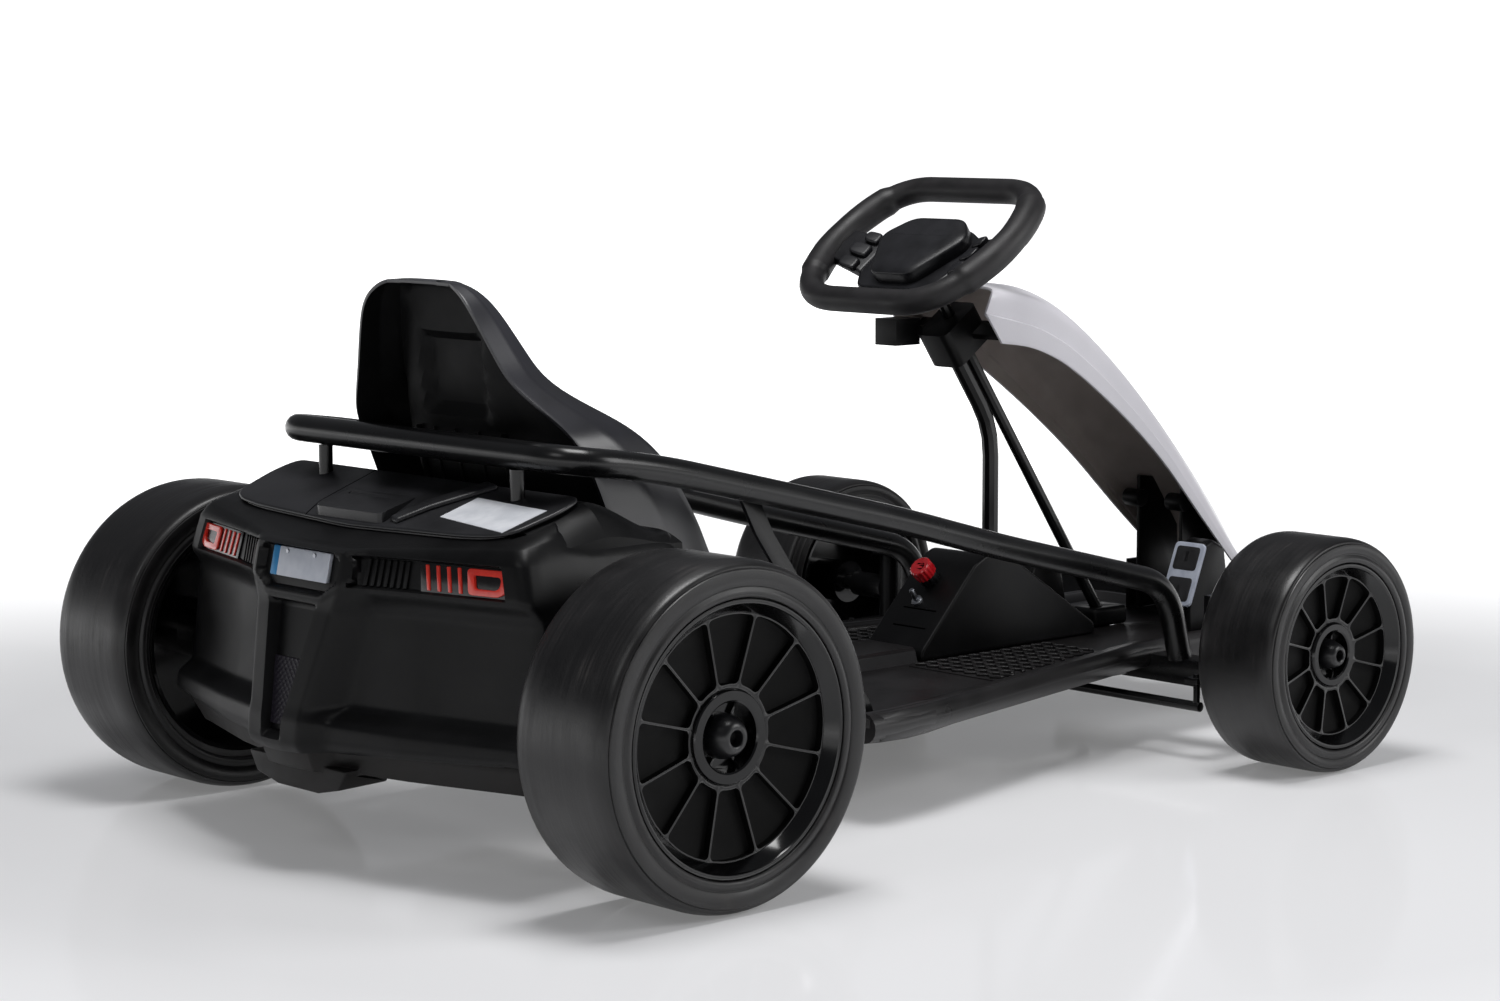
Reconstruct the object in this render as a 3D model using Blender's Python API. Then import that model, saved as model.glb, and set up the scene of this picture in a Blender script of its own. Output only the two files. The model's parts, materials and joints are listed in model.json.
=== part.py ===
# Child's electric drift kart, one object for each sub-part.
# Metres, +X forward, +Y left, +Z up.  The origin is on the floor under the middle of the kart.
# Inside the file, x is measured from the rear axle: the empty "kart" carries every part
# and stands at the rear axle's place.

import math

import bmesh
import bpy
from mathutils import Matrix, Vector

# Driving dimensions: wheels
WHEELBASE = 0.810
REAR_TYRE_R = 0.145
REAR_TYRE_W = 0.116
REAR_TRACK = 0.697
FRONT_TYRE_R = 0.115
FRONT_TYRE_W = 0.093
FRONT_TRACK = 0.672
RIM_SHARE = 0.789            # rim lip radius over tyre radius
RIB_COUNT = 12
WHEEL_SEGMENTS = 28

# Driving dimensions: clearances and walls
GAP = 0.0003                 # between pieces that touch
RUNNING = 0.0005             # round a shaft that turns
SHELL = 0.003                # moulded plastic wall

# Driving dimensions: tubes
TUBE_STEPS = 3               # steps in each quarter of a tube's section
RAIL_R = 0.0125
FRAME_R = 0.0125
AXLE_R = 0.008
SHAFT_R = 0.006
POST_R = 0.0085

# Driving dimensions: overall places
NOSE_X = 1.115               # front of the bumper
TAIL_X = -0.178              # rear of the cover's prow
PAN_Z = 0.095                # top of the floor
PAN_REAR_X = 0.300
PAN_FRONT_X = 1.030
PAN_REAR_HALF = 0.245
PAN_FRONT_HALF = 0.145
COVER_HALF = 0.262
COVER_BASE_Z = 0.112
STEER_LEAN = math.radians(35.0)   # column's lean back from the vertical
HUB_X = 0.603
HUB_Z = 0.505
KINGPIN_Y = 0.245
STEER_ARM = 0.058            # knuckle arm and column crank, both the same length
TIE_ROD_Z = 0.055

MIDDLE_X = (NOSE_X + TAIL_X) / 2

COLLECTION = bpy.context.scene.collection


def clear_scene():
    for old in list(bpy.data.objects):
        bpy.data.objects.remove(old, do_unlink=True)


def material(name, colour, roughness, metallic=0.0):
    made = bpy.data.materials.get(name)
    if made is None:
        made = bpy.data.materials.new(name)
        made.use_nodes = True
        shader = made.node_tree.nodes["Principled BSDF"]
        shader.inputs["Base Color"].default_value = (*colour, 1.0)
        shader.inputs["Roughness"].default_value = roughness
        shader.inputs["Metallic"].default_value = metallic
    return made


BLACK_PLASTIC = material("black_plastic", (0.022, 0.022, 0.024), 0.50)
SEAT_PLASTIC = material("seat_plastic", (0.026, 0.026, 0.030), 0.38)
GLOSS_BLACK = material("gloss_black", (0.012, 0.012, 0.013), 0.16)
CAP_BLACK = material("cap_black", (0.03, 0.03, 0.032), 0.30)
TYRE_PLASTIC = material("tyre_plastic", (0.035, 0.034, 0.036), 0.48)
BLACK_PAINT = material("black_paint", (0.016, 0.016, 0.018), 0.28, 0.2)
WHITE_PLASTIC = material("white_plastic", (0.72, 0.72, 0.76), 0.32)
LAMP_RED = material("lamp_red", (0.78, 0.05, 0.035), 0.25)
PLATE_WHITE = material("plate_white", (0.78, 0.80, 0.84), 0.40)
PEDAL_GREY = material("pedal_grey", (0.50, 0.53, 0.60), 0.45)
STEEL = material("steel", (0.45, 0.45, 0.47), 0.35, 1.0)
WHEEL_GRIP = material("wheel_grip", (0.028, 0.027, 0.029), 0.55)


def empty(name, place, parent=None, turn_y=0.0):
    carrier = bpy.data.objects.new(name, None)
    carrier.location = place
    carrier.rotation_euler = (0.0, turn_y, 0.0)
    carrier.parent = parent
    COLLECTION.objects.link(carrier)
    return carrier


def mesh_object(name, form, finish, parent, place=(0, 0, 0), smooth_deg=35.0):
    """Puts a bmesh into a named object, with its faces pointing out."""
    bmesh.ops.recalc_face_normals(form, faces=form.faces)
    mesh = bpy.data.meshes.new(name)
    form.to_mesh(mesh)
    form.free()
    mesh.shade_smooth()
    mesh.set_sharp_from_angle(angle=math.radians(smooth_deg))
    mesh.materials.append(finish)
    made = bpy.data.objects.new(name, mesh)
    made.location = place
    made.parent = parent
    COLLECTION.objects.link(made)
    return made


def cutter(name, form, parent, place=(0, 0, 0)):
    made = mesh_object(name, form, BLACK_PLASTIC, parent, place)
    made.hide_render = True
    made.display_type = "WIRE"
    return made


def boolean(target, tool, kind="DIFFERENCE"):
    cut = target.modifiers.new(kind.lower() + "_" + tool.name, "BOOLEAN")
    cut.operation = kind
    cut.object = tool
    return cut


def bevel(target, width, segments=2, angle_deg=40.0):
    edge = target.modifiers.new("edge_round", "BEVEL")
    edge.width = width
    edge.segments = segments
    edge.limit_method = "ANGLE"
    edge.angle_limit = math.radians(angle_deg)
    return edge


def round_path(corners, bend, steps=3):
    """Points along straight runs, with a round bend at each inner corner."""
    path = [Vector(corners[0])]
    for before, corner, after in zip(corners, corners[1:], corners[2:]):
        before, corner, after = Vector(before), Vector(corner), Vector(after)
        into, away = (before - corner), (after - corner)
        reach = min(bend, into.length * 0.48, away.length * 0.48)
        first = corner + into.normalized() * reach
        last = corner + away.normalized() * reach
        for step in range(steps + 1):
            t = step / steps
            path.append(first * (1 - t) ** 2 + corner * 2 * t * (1 - t) + last * t ** 2)
    path.append(Vector(corners[-1]))
    return path


def tube(name, corners, radius, finish, parent, bend=0.04, place=(0, 0, 0)):
    """A bent tube with filled ends."""
    curve = bpy.data.curves.new(name, "CURVE")
    curve.dimensions = "3D"
    curve.bevel_depth = radius
    curve.bevel_resolution = TUBE_STEPS
    curve.use_fill_caps = True
    path = round_path(corners, bend)
    spline = curve.splines.new("POLY")
    spline.points.add(len(path) - 1)
    for point, spot in zip(spline.points, path):
        point.co = (*spot, 1.0)
    curve.materials.append(finish)
    made = bpy.data.objects.new(name, curve)
    made.location = place
    made.parent = parent
    COLLECTION.objects.link(made)
    return made


def lathe(form, profile, segments, axis="Y"):
    """Turns a closed profile of (radius, height) round an axis through the origin."""
    rings = []
    for step in range(segments):
        angle = 2 * math.pi * step / segments
        c, s = math.cos(angle), math.sin(angle)
        ring = []
        for radius, height in profile:
            spot = {"Y": (radius * c, height, radius * s), "Z": (radius * c, radius * s, height)}[axis]
            ring.append(form.verts.new(spot))
        rings.append(ring)
    count = len(profile)
    for i, ring in enumerate(rings):
        after = rings[(i + 1) % segments]
        for j in range(count):
            k = (j + 1) % count
            form.faces.new((ring[j], ring[k], after[k], after[j]))


def loft(form, sections, ends=True):
    """Joins closed loops of as many points each, with a face on each end."""
    loops = [[form.verts.new(spot) for spot in section] for section in sections]
    for loop, after in zip(loops, loops[1:]):
        for j in range(len(loop)):
            k = (j + 1) % len(loop)
            form.faces.new((loop[j], loop[k], after[k], after[j]))
    if ends:
        form.faces.new(list(reversed(loops[0])))
        form.faces.new(loops[-1])
    return loops


def box(form, low, high):
    (x0, y0, z0), (x1, y1, z1) = low, high
    lower = [(x0, y0, z0), (x1, y0, z0), (x1, y1, z0), (x0, y1, z0)]
    upper = [(x, y, z1) for x, y, z in lower]
    loft(form, [lower, upper])


def rod(form, start, end, radius, segments=16):
    """A straight round bar between two points."""
    start, end = Vector(start), Vector(end)
    along = (end - start).normalized()
    turn = along.to_track_quat("Z", "Y").to_matrix()
    loops = []
    for centre in (start, end):
        loops.append([centre + turn @ Vector((radius * math.cos(a), radius * math.sin(a), 0.0))
                      for a in (2 * math.pi * k / segments for k in range(segments))])
    loft(form, loops)


def rounded_outline(corners, radius, steps=4):
    """A closed flat outline with round corners."""
    outline = []
    count = len(corners)
    for i, corner in enumerate(corners):
        here = Vector(corner)
        into = Vector(corners[i - 1]) - here
        away = Vector(corners[(i + 1) % count]) - here
        reach = min(radius, into.length * 0.45, away.length * 0.45)
        first = here + into.normalized() * reach
        last = here + away.normalized() * reach
        for step in range(steps + 1):
            t = step / steps
            outline.append(first * (1 - t) ** 2 + here * 2 * t * (1 - t) + last * t ** 2)
    return outline


# Wheels: a hollow-moulded slick tyre on a closed, ribbed rim with a domed cap

def tyre_form(radius, half, rim_r):
    """Slick tread with round shoulders; its bore takes the rim's barrel."""
    barrel = rim_r - 0.006
    side = [(barrel + GAP, half - 0.0065), (rim_r + GAP, half - 0.0065), (rim_r + GAP, half - 0.0015),
            (0.904 * radius, half), (0.955 * radius, half - 0.004), (0.988 * radius, half * 0.84),
            (radius, half * 0.62)]
    other = [(r, -y) for r, y in reversed(side)]
    form = bmesh.new()
    lathe(form, side + other, WHEEL_SEGMENTS)
    return form


def rim_form(radius, half, rim_r, bore_r):
    """Barrel, lip, dished disc and hub, turned in one."""
    barrel = rim_r - 0.006
    disc = half - 0.024
    hub_ring = 0.27 * radius
    hub_cup = 0.20 * radius
    profile = [
        (barrel, -half + 0.004),
        (barrel, half - 0.006),
        (rim_r, half - 0.006),
        (rim_r, half - 0.002),
        (rim_r - 0.009, half - 0.002),
        (rim_r - 0.014, disc + 0.003),
        (hub_ring + 0.006, disc),
        (hub_ring, disc + 0.008),
        (hub_cup, disc + 0.008),
        (hub_cup - 0.002, disc - 0.004),
        (bore_r, disc - 0.004),
        (bore_r, -half + 0.020),
        (hub_cup, -half + 0.020),
        (hub_cup, disc - 0.008),
        (barrel - 0.004, disc - 0.006),
        (barrel - 0.004, -half + 0.004),
    ]
    form = bmesh.new()
    lathe(form, profile, WHEEL_SEGMENTS)
    return form


def rib_form(radius, half, rim_r):
    """Thin radial walls that stand on the dished disc, in one loop."""
    form = bmesh.new()
    disc = half - 0.024
    inner, outer = 0.27 * radius - 0.001, rim_r - 0.0115
    wall = 0.0016
    for step in range(RIB_COUNT):
        turn = Matrix.Rotation(2 * math.pi * (step + 0.5) / RIB_COUNT, 3, "Y")
        low = [(inner, disc - 0.003, -wall), (outer, disc - 0.003, -wall),
               (outer, disc - 0.003, wall), (inner, disc - 0.003, wall)]
        high = [(inner, disc + 0.0065, -wall), (outer, disc + 0.012, -wall),
                (outer, disc + 0.012, wall), (inner, disc + 0.0065, wall)]
        loft(form, [[turn @ Vector(p) for p in low], [turn @ Vector(p) for p in high]])
    return form


def cap_form(radius, half, bore_r):
    """Domed nut-like cap over the axle's end, with a blind round hole."""
    seat = half - 0.028 + GAP
    wide = 0.13 * radius
    profile = [(0.0, seat), (wide, seat), (wide, seat + 0.006), (wide * 0.62, seat + 0.021),
               (wide * 0.38, seat + 0.022), (wide * 0.34, seat + 0.012), (0.0, seat + 0.012)]
    form = bmesh.new()
    count = 16
    rings = []
    for r, y in profile:
        if r == 0.0:
            rings.append([form.verts.new((0.0, y, 0.0))])
        else:
            rings.append([form.verts.new((r * math.cos(a), y, r * math.sin(a)))
                          for a in (2 * math.pi * k / count for k in range(count))])
    for ring, after in zip(rings, rings[1:]):
        for k in range(count):
            n = (k + 1) % count
            if len(ring) == 1:
                form.faces.new((ring[0], after[k], after[n]))
            elif len(after) == 1:
                form.faces.new((ring[k], ring[n], after[0]))
            else:
                form.faces.new((ring[k], ring[n], after[n], after[k]))
    return form


def wheel(name, place, side, radius, width, stub_r, kart):
    """One wheel: tyre, rim and cap, turning on the axle's end at its centre."""
    half = width / 2
    rim_r = RIM_SHARE * radius
    bore_r = stub_r + RUNNING
    turn = 0.0 if side > 0 else math.pi
    hub = empty(name + "_axis", place, kart)
    hub.rotation_euler = (0.0, 0.0, turn)
    mesh_object(name + "_tyre", tyre_form(radius, half, rim_r), TYRE_PLASTIC, hub)
    rim = mesh_object(name + "_rim", rim_form(radius, half, rim_r, bore_r), GLOSS_BLACK, hub)
    ribs = cutter(name + "_ribs", rib_form(radius, half, rim_r), hub)
    boolean(rim, ribs, "UNION")
    mesh_object(name + "_cap", cap_form(radius, half, bore_r), CAP_BLACK, hub)


def wheels(kart):
    rows = [  # name, x, side, radius, width, track, stub radius
        ("rear_left", 0.0, 1, REAR_TYRE_R, REAR_TYRE_W, REAR_TRACK, AXLE_R),
        ("rear_right", 0.0, -1, REAR_TYRE_R, REAR_TYRE_W, REAR_TRACK, AXLE_R),
        ("front_left", WHEELBASE, 1, FRONT_TYRE_R, FRONT_TYRE_W, FRONT_TRACK, AXLE_R),
        ("front_right", WHEELBASE, -1, FRONT_TYRE_R, FRONT_TYRE_W, FRONT_TRACK, AXLE_R),
    ]
    for name, x, side, radius, width, track, stub_r in rows:
        wheel(name, (x, side * track / 2, radius), side, radius, width, stub_r, kart)


# Rear end: axle tube, gearboxes and battery inside the rear cover

TRAY_Z = (0.085, 0.112)      # lower tray of the rear cover
VALANCE = [(-0.074, 0.090), (-0.062, 0.072), (-0.030, 0.065), (0.030, 0.065), (0.062, 0.072), (0.074, 0.090)]
FRAME_REAR_Y = 0.1635        # the frame tubes' half-spacing under the seat
PAN_SKIN = 0.004
FRAME_Z = PAN_Z - PAN_SKIN - GAP - FRAME_R
FRAME_TOP_Z = FRAME_Z + FRAME_R
AXLE_UNDER_Z = REAR_TYRE_R - AXLE_R - GAP
POST_Y = 0.140               # the two posts that carry the guard rail's rear tube


def axle_end_y(track, width):
    """How far out a stub reaches: just short of the cap in the hub."""
    return track / 2 + width / 2 - 0.0285


def rear_end(kart):
    tip = axle_end_y(REAR_TRACK, REAR_TYRE_W)
    z = REAR_TYRE_R
    form = bmesh.new()
    rod(form, (0, -tip, z), (0, tip, z), AXLE_R, 20)
    mesh_object("rear_axle", form, STEEL, kart)

    # Rear cross beam under the axle: carries it and stands on the frame tubes
    form = bmesh.new()
    box(form, (-0.024, -0.182, FRAME_TOP_Z + GAP), (0.016, 0.182, AXLE_UNDER_Z))
    beam = mesh_object("rear_beam", form, BLACK_PAINT, kart)
    bevel(beam, 0.002, 1)
    for label, side in (("left", 1), ("right", -1)):
        form = bmesh.new()
        post_top = RAIL_REAR_Z - RAIL_R - GAP
        rod(form, (RAIL_REAR_X, side * POST_Y, 0.100), (RAIL_REAR_X, side * POST_Y, post_top), 0.0065, 12)
        boolean(beam, cutter("rail_post_" + label, form, kart), "UNION")

    # Each motor and its gearbox is one moulded case beside the wheel, bored for the axle
    for name, side in (("gearbox_left", 1), ("gearbox_right", -1)):
        form = bmesh.new()
        foot = TRAY_Z[1] + GAP
        outline = rounded_outline([(0.050, foot), (0.050, z + 0.048), (-0.056, z + 0.055),
                                   (-0.070, z - 0.020), (-0.066, foot)], 0.012, 3)
        inner, outer = side * 0.192, side * 0.252
        loft(form, [[(p.x, inner, p.y) for p in outline], [(p.x, outer, p.y) for p in outline]])
        case = mesh_object(name, form, BLACK_PLASTIC, kart)
        form = bmesh.new()
        rod(form, (0, side * 0.180, z), (0, side * 0.260, z), AXLE_R + GAP, 24)
        boolean(case, cutter(name + "_bore", form, kart))

    # Battery pack: the one heavy mass, standing on the tray behind the axle
    form = bmesh.new()
    box(form, (-0.106, -0.085, TRAY_Z[1] + GAP), (-0.046, 0.085, 0.222))
    mesh_object("battery", form, BLACK_PLASTIC, kart)


# Rear cover: a moulded housing with a prow-like centre, lamps and a screwed lid

COVER_FRONT_X = 0.088        # front of the two fenders
COVER_NOTCH_X = -0.038       # front of the middle, behind the rail's posts
COVER_NOTCH_Y = 0.178        # inside of the fenders, beside the seat
HALF_LID = [(-0.096, 0.0), (-0.083, 0.158), (-0.068, 0.188), (COVER_NOTCH_X + 0.004, 0.176)]
LID_THICK = 0.004
LID_BLOCK = [(-0.088, 0.048), (-0.044, 0.044), (-0.044, -0.055), (-0.088, -0.062)]
LID_RIDGE = [(-0.086, -0.064), (-0.042, -0.098), (-0.042, -0.110), (-0.088, -0.076)]


def deck_z(x):
    """Height of the cover's top: it rises towards the seat, and the fenders run level."""
    return 0.289 + (x + 0.087) * 0.33 if x <= COVER_NOTCH_X + 0.005 else 0.289


# The rear face from the middle outwards: a channel, the prow's ridges, drawn-in side panels.
# Two rows set the face back into a band for the lamps, with a raised surround for the plate.
COVER_ROWS = [  # z, channel x, half, prow x, half, panel x, inner y, outer x, half width, share of deck slope
    (COVER_BASE_Z, -0.172, 0.012, -0.172, 0.036, -0.152, 0.050, -0.106, COVER_HALF - 0.004, 0.0),
    (0.1160, -0.178, 0.012, -0.178, 0.037, -0.158, 0.052, -0.112, COVER_HALF, 0.0),
    (0.1200, -0.177, 0.013, -0.177, 0.037, -0.157, 0.053, -0.112, COVER_HALF, 0.0),
    (0.1220, -0.168, 0.013, -0.177, 0.037, -0.157, 0.053, -0.112, COVER_HALF, 0.0),
    (0.1310, -0.165, 0.015, -0.176, 0.038, -0.155, 0.055, -0.110, COVER_HALF, 0.0),
    (0.1410, -0.162, 0.017, -0.173, 0.039, -0.137, 0.057, -0.095, COVER_HALF - 0.002, 0.0),
    (0.2260, -0.141, 0.034, -0.152, 0.056, -0.123, 0.078, -0.087, COVER_HALF - 0.006, 0.0),
    (0.2340, -0.151, 0.036, -0.151, 0.060, -0.126, 0.084, -0.089, COVER_HALF - 0.008, 0.0),
    (0.2445, -0.149, 0.046, -0.150, 0.064, -0.136, 0.086, -0.099, COVER_HALF - 0.010, 0.0),
    (0.2465, -0.142, 0.050, -0.149, 0.066, -0.130, 0.072, -0.093, COVER_HALF - 0.012, 0.0),
    (0.2735, -0.136, 0.055, -0.144, 0.067, -0.124, 0.073, -0.089, COVER_HALF - 0.021, 0.0),
    (0.2755, -0.141, 0.052, -0.143, 0.064, -0.130, 0.080, -0.095, COVER_HALF - 0.021, 0.1),
    (0.2860, -0.131, 0.042, -0.131, 0.060, -0.123, 0.080, -0.089, COVER_HALF - 0.032, 0.7),
    (0.2890, -0.118, 0.030, -0.118, 0.045, -0.112, 0.070, -0.077, COVER_HALF - 0.048, 1.0),
]
BAND_LOW, BAND_HIGH = COVER_ROWS[9], COVER_ROWS[10]
REAR_POINTS = 7              # of half a level, on the rear face
FENDER_POINTS = 7            # of half a level, round the side and back to the notch


def cover_half(z, channel_x, channel_half, prow_x, prow_half, panel_x, panel_y, outer_x, half, deck):
    """Half a level of the cover in plan, from the prow round the left side to the notch."""
    rear = [(channel_x, 0.0), (channel_x, channel_half - 0.002), (prow_x, channel_half),
            (prow_x + 0.002, prow_half), (panel_x, panel_y),
            ((panel_x * 2 + outer_x) / 3, half * 0.50), (outer_x, half - 0.0234)]
    fender = [(outer_x + 0.004, half - 0.008), (outer_x + 0.009, half - 0.0018), (outer_x + 0.025, half),
              (COVER_FRONT_X - 0.018, half), (COVER_FRONT_X - 0.004, half - 0.008),
              (COVER_FRONT_X, half - 0.024), (COVER_FRONT_X, COVER_NOTCH_Y)]
    return rear + fender + [(COVER_NOTCH_X, COVER_NOTCH_Y), (COVER_NOTCH_X, 0.0)]


def cover_loop(*row):
    """One level of the cover, as a closed loop from the prow round the left side and back."""
    z, deck = row[0], row[-1]
    left = cover_half(*row)
    loop = left + [(x, -y) for x, y in reversed(left[1:-1])]
    return [(x, y, z + deck * (deck_z(x) - z)) for x, y in loop]


def rear_cover(kart):
    form = bmesh.new()
    loops = loft(form, [cover_loop(*row) for row in COVER_ROWS], ends=False)
    top, count = loops[-1], len(loops[-1])
    notch = REAR_POINTS + FENDER_POINTS
    form.faces.new(top[:REAR_POINTS + 1] + top[notch:notch + 3] + top[count - REAR_POINTS:])
    form.faces.new(top[REAR_POINTS:notch + 1])
    form.faces.new(top[notch + 2:count - REAR_POINTS + 1])
    cover = mesh_object("rear_cover", form, BLACK_PLASTIC, kart)
    shell = cover.modifiers.new("wall", "SOLIDIFY")
    shell.thickness = SHELL
    shell.offset = -1.0

    # The axle and the gearboxes leave through an arch in each side wall
    for name, side in (("left", 1), ("right", -1)):
        form = bmesh.new()
        outline = rounded_outline([(COVER_FRONT_X + 0.02, 0.10), (COVER_FRONT_X + 0.02, 0.165),
                                   (0.066, 0.215), (-0.070, 0.215), (-0.082, 0.10)], 0.025, 3)
        ya, yb = side * 0.170, side * 0.290
        loft(form, [[(p.x, ya, p.y) for p in outline], [(p.x, yb, p.y) for p in outline]])
        boolean(cover, cutter("arch_" + name, form, kart))

    # Screwed lid over the battery
    outline = rounded_outline(HALF_LID + [(x, -y) for x, y in reversed(HALF_LID)], 0.012, 2)
    form = bmesh.new()
    loft(form, [[(p.x, p.y, deck_z(p.x) + rise) for p in outline] for rise in (GAP * 2, LID_THICK)])
    lid = mesh_object("rear_lid", form, BLACK_PLASTIC, kart)
    raised = [  # name, plan, rise of its foot, shoulder and top
        ("lid_block", LID_BLOCK, (0.002, 0.011, 0.014)),
        ("lid_ridge", LID_RIDGE, (0.002, 0.006, 0.007)),
    ]
    for name, plan, rises in raised:
        form = bmesh.new()
        x_mid = sum(x for x, y in plan) / len(plan)
        y_mid = sum(y for x, y in plan) / len(plan)
        layers = zip(rises, (1.0, 0.97, 0.90))
        loft(form, [[(x_mid + (x - x_mid) * share, y_mid + (y - y_mid) * share, deck_z(x) + rise)
                     for x, y in plan] for rise, share in layers])
        boolean(lid, cutter(name, form, kart), "UNION")

    # Lower tray that closes the cover and carries the battery
    form = bmesh.new()
    low, high = TRAY_Z
    plan = [(min(x, COVER_NOTCH_X), y) for x, y, z in cover_loop(*COVER_ROWS[0])]
    keep = [spot for k, spot in enumerate(plan) if spot != plan[k - 1]]
    loft(form, [[(x + 0.008 if x < -0.05 else x, y * 0.96, low) for x, y in keep],
                [(x, y, high - 0.006) for x, y in keep], [(x, y, high - GAP) for x, y in keep]])
    tray = mesh_object("under_tray", form, BLACK_PLASTIC, kart)
    form = bmesh.new()
    loft(form, [[(x, y * wide, z) for y, z in VALANCE] for x, wide in ((-0.156, 1.0), (-0.100, 0.9))])
    boolean(tray, cutter("valance", form, kart), "UNION")


BAND_Z = (0.2475, 0.2725)    # inside the set-back band that holds the plate and the lamps


def band_x(y, z):
    """The band's rear face at a width and a height."""
    share = (z - BAND_LOW[0]) / (BAND_HIGH[0] - BAND_LOW[0])
    points = cover_half(*[a + (b - a) * share for a, b in zip(BAND_LOW, BAND_HIGH)])[:REAR_POINTS]
    for (xa, ya), (xb, yb) in zip(points, points[1:]):
        if abs(y) <= yb:
            return xa + (xb - xa) * (abs(y) - ya) / (yb - ya)
    return points[-1][0]


PLATE_HALF = 0.042
PLATE_THICK = 0.004
LAMP_Y = (0.131, 0.2265)     # inner and outer end of a lamp
LAMP_BACK = 0.0015           # the lamp's thin backing
LAMP_DEPTH = 0.005           # its bars and ring stand out this far
LAMP_SLANT = 0.005           # the bars' feet stand this far out from their tops
BAR_Y = (0.136, 0.147, 0.158, 0.169)
BAR_WIDE = 0.0045
RING_Y = (0.181, 0.2255)
RING_WALL = 0.007


def lamp_block(form, side, outline, near, far):
    """A block on the band over an outline of (y, z), between two distances from it."""
    loft(form, [[(band_x(y, z) - out, side * y, z) for y, z in outline] for out in (near, far)])


def rear_trim(kart):
    # Number plate, left blank, flat across the prow
    low, high = BAND_Z
    form = bmesh.new()
    corners = [(-PLATE_HALF, low), (PLATE_HALF, low), (PLATE_HALF, high), (-PLATE_HALF, high)]
    loft(form, [[(band_x(0, z) - out, y, z) for y, z in corners] for out in (GAP, GAP + PLATE_THICK)])
    mesh_object("number_plate", form, PLATE_WHITE, kart)

    # Tail lamps: a thin backing with four slanted bars and a ring at its outer end
    for name, side in (("tail_lamp_left", 1), ("tail_lamp_right", -1)):
        form = bmesh.new()
        inner, outer = LAMP_Y
        backing = [(inner, high), (inner + LAMP_SLANT, low), (outer, low), (outer, high)]
        lamp_block(form, side, backing, GAP, LAMP_BACK)
        lamp = mesh_object(name, form, LAMP_RED, kart)
        foot, head = low + 0.002, high - 0.002
        form = bmesh.new()
        for y in BAR_Y:
            bar = [(y, head), (y + LAMP_SLANT, foot), (y + LAMP_SLANT + BAR_WIDE, foot), (y + BAR_WIDE, head)]
            lamp_block(form, side, bar, GAP * 3, LAMP_DEPTH)
        near, far = RING_Y
        ring = [(near, head), (near + LAMP_SLANT, foot), (far - 0.004, foot), (far, foot + 0.006),
                (far, head - 0.004)]
        lamp_block(form, side, ring, GAP * 3, LAMP_DEPTH)
        boolean(lamp, cutter(name + "_bars", form, kart), "UNION")
        form = bmesh.new()
        hole_in, hole_out = near + RING_WALL, far - RING_WALL
        hole_low, hole_high = foot + 0.0065, head - 0.0065
        hole = [(hole_in, hole_high), (hole_in + 0.004, hole_low), (hole_out, hole_low),
                (hole_out, hole_high)]
        lamp_block(form, side, hole, LAMP_BACK + 0.001, LAMP_DEPTH + 0.003)
        boolean(lamp, cutter(name + "_hole", form, kart))


# Frame: two lower tubes, the front beam with its yokes, and the nose tubes

def pan_half(x):
    """Half the floor's width at x."""
    rows = [(PAN_REAR_X, PAN_REAR_HALF), (0.370, PAN_REAR_HALF - 0.004), (0.790, PAN_FRONT_HALF),
            (PAN_FRONT_X, PAN_FRONT_HALF)]
    for (xa, ya), (xb, yb) in zip(rows, rows[1:]):
        if x <= xb:
            return ya + (yb - ya) * (x - xa) / (xb - xa)
    return PAN_FRONT_HALF


BEAM_Z = (0.064, 0.0905)
BEAM_HALF_X = 0.014
YOKE_TOP_Z = 0.158
EAR = 0.0055
FRAME_FRONT_Y = 0.112
PIN_R = 0.005


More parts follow.
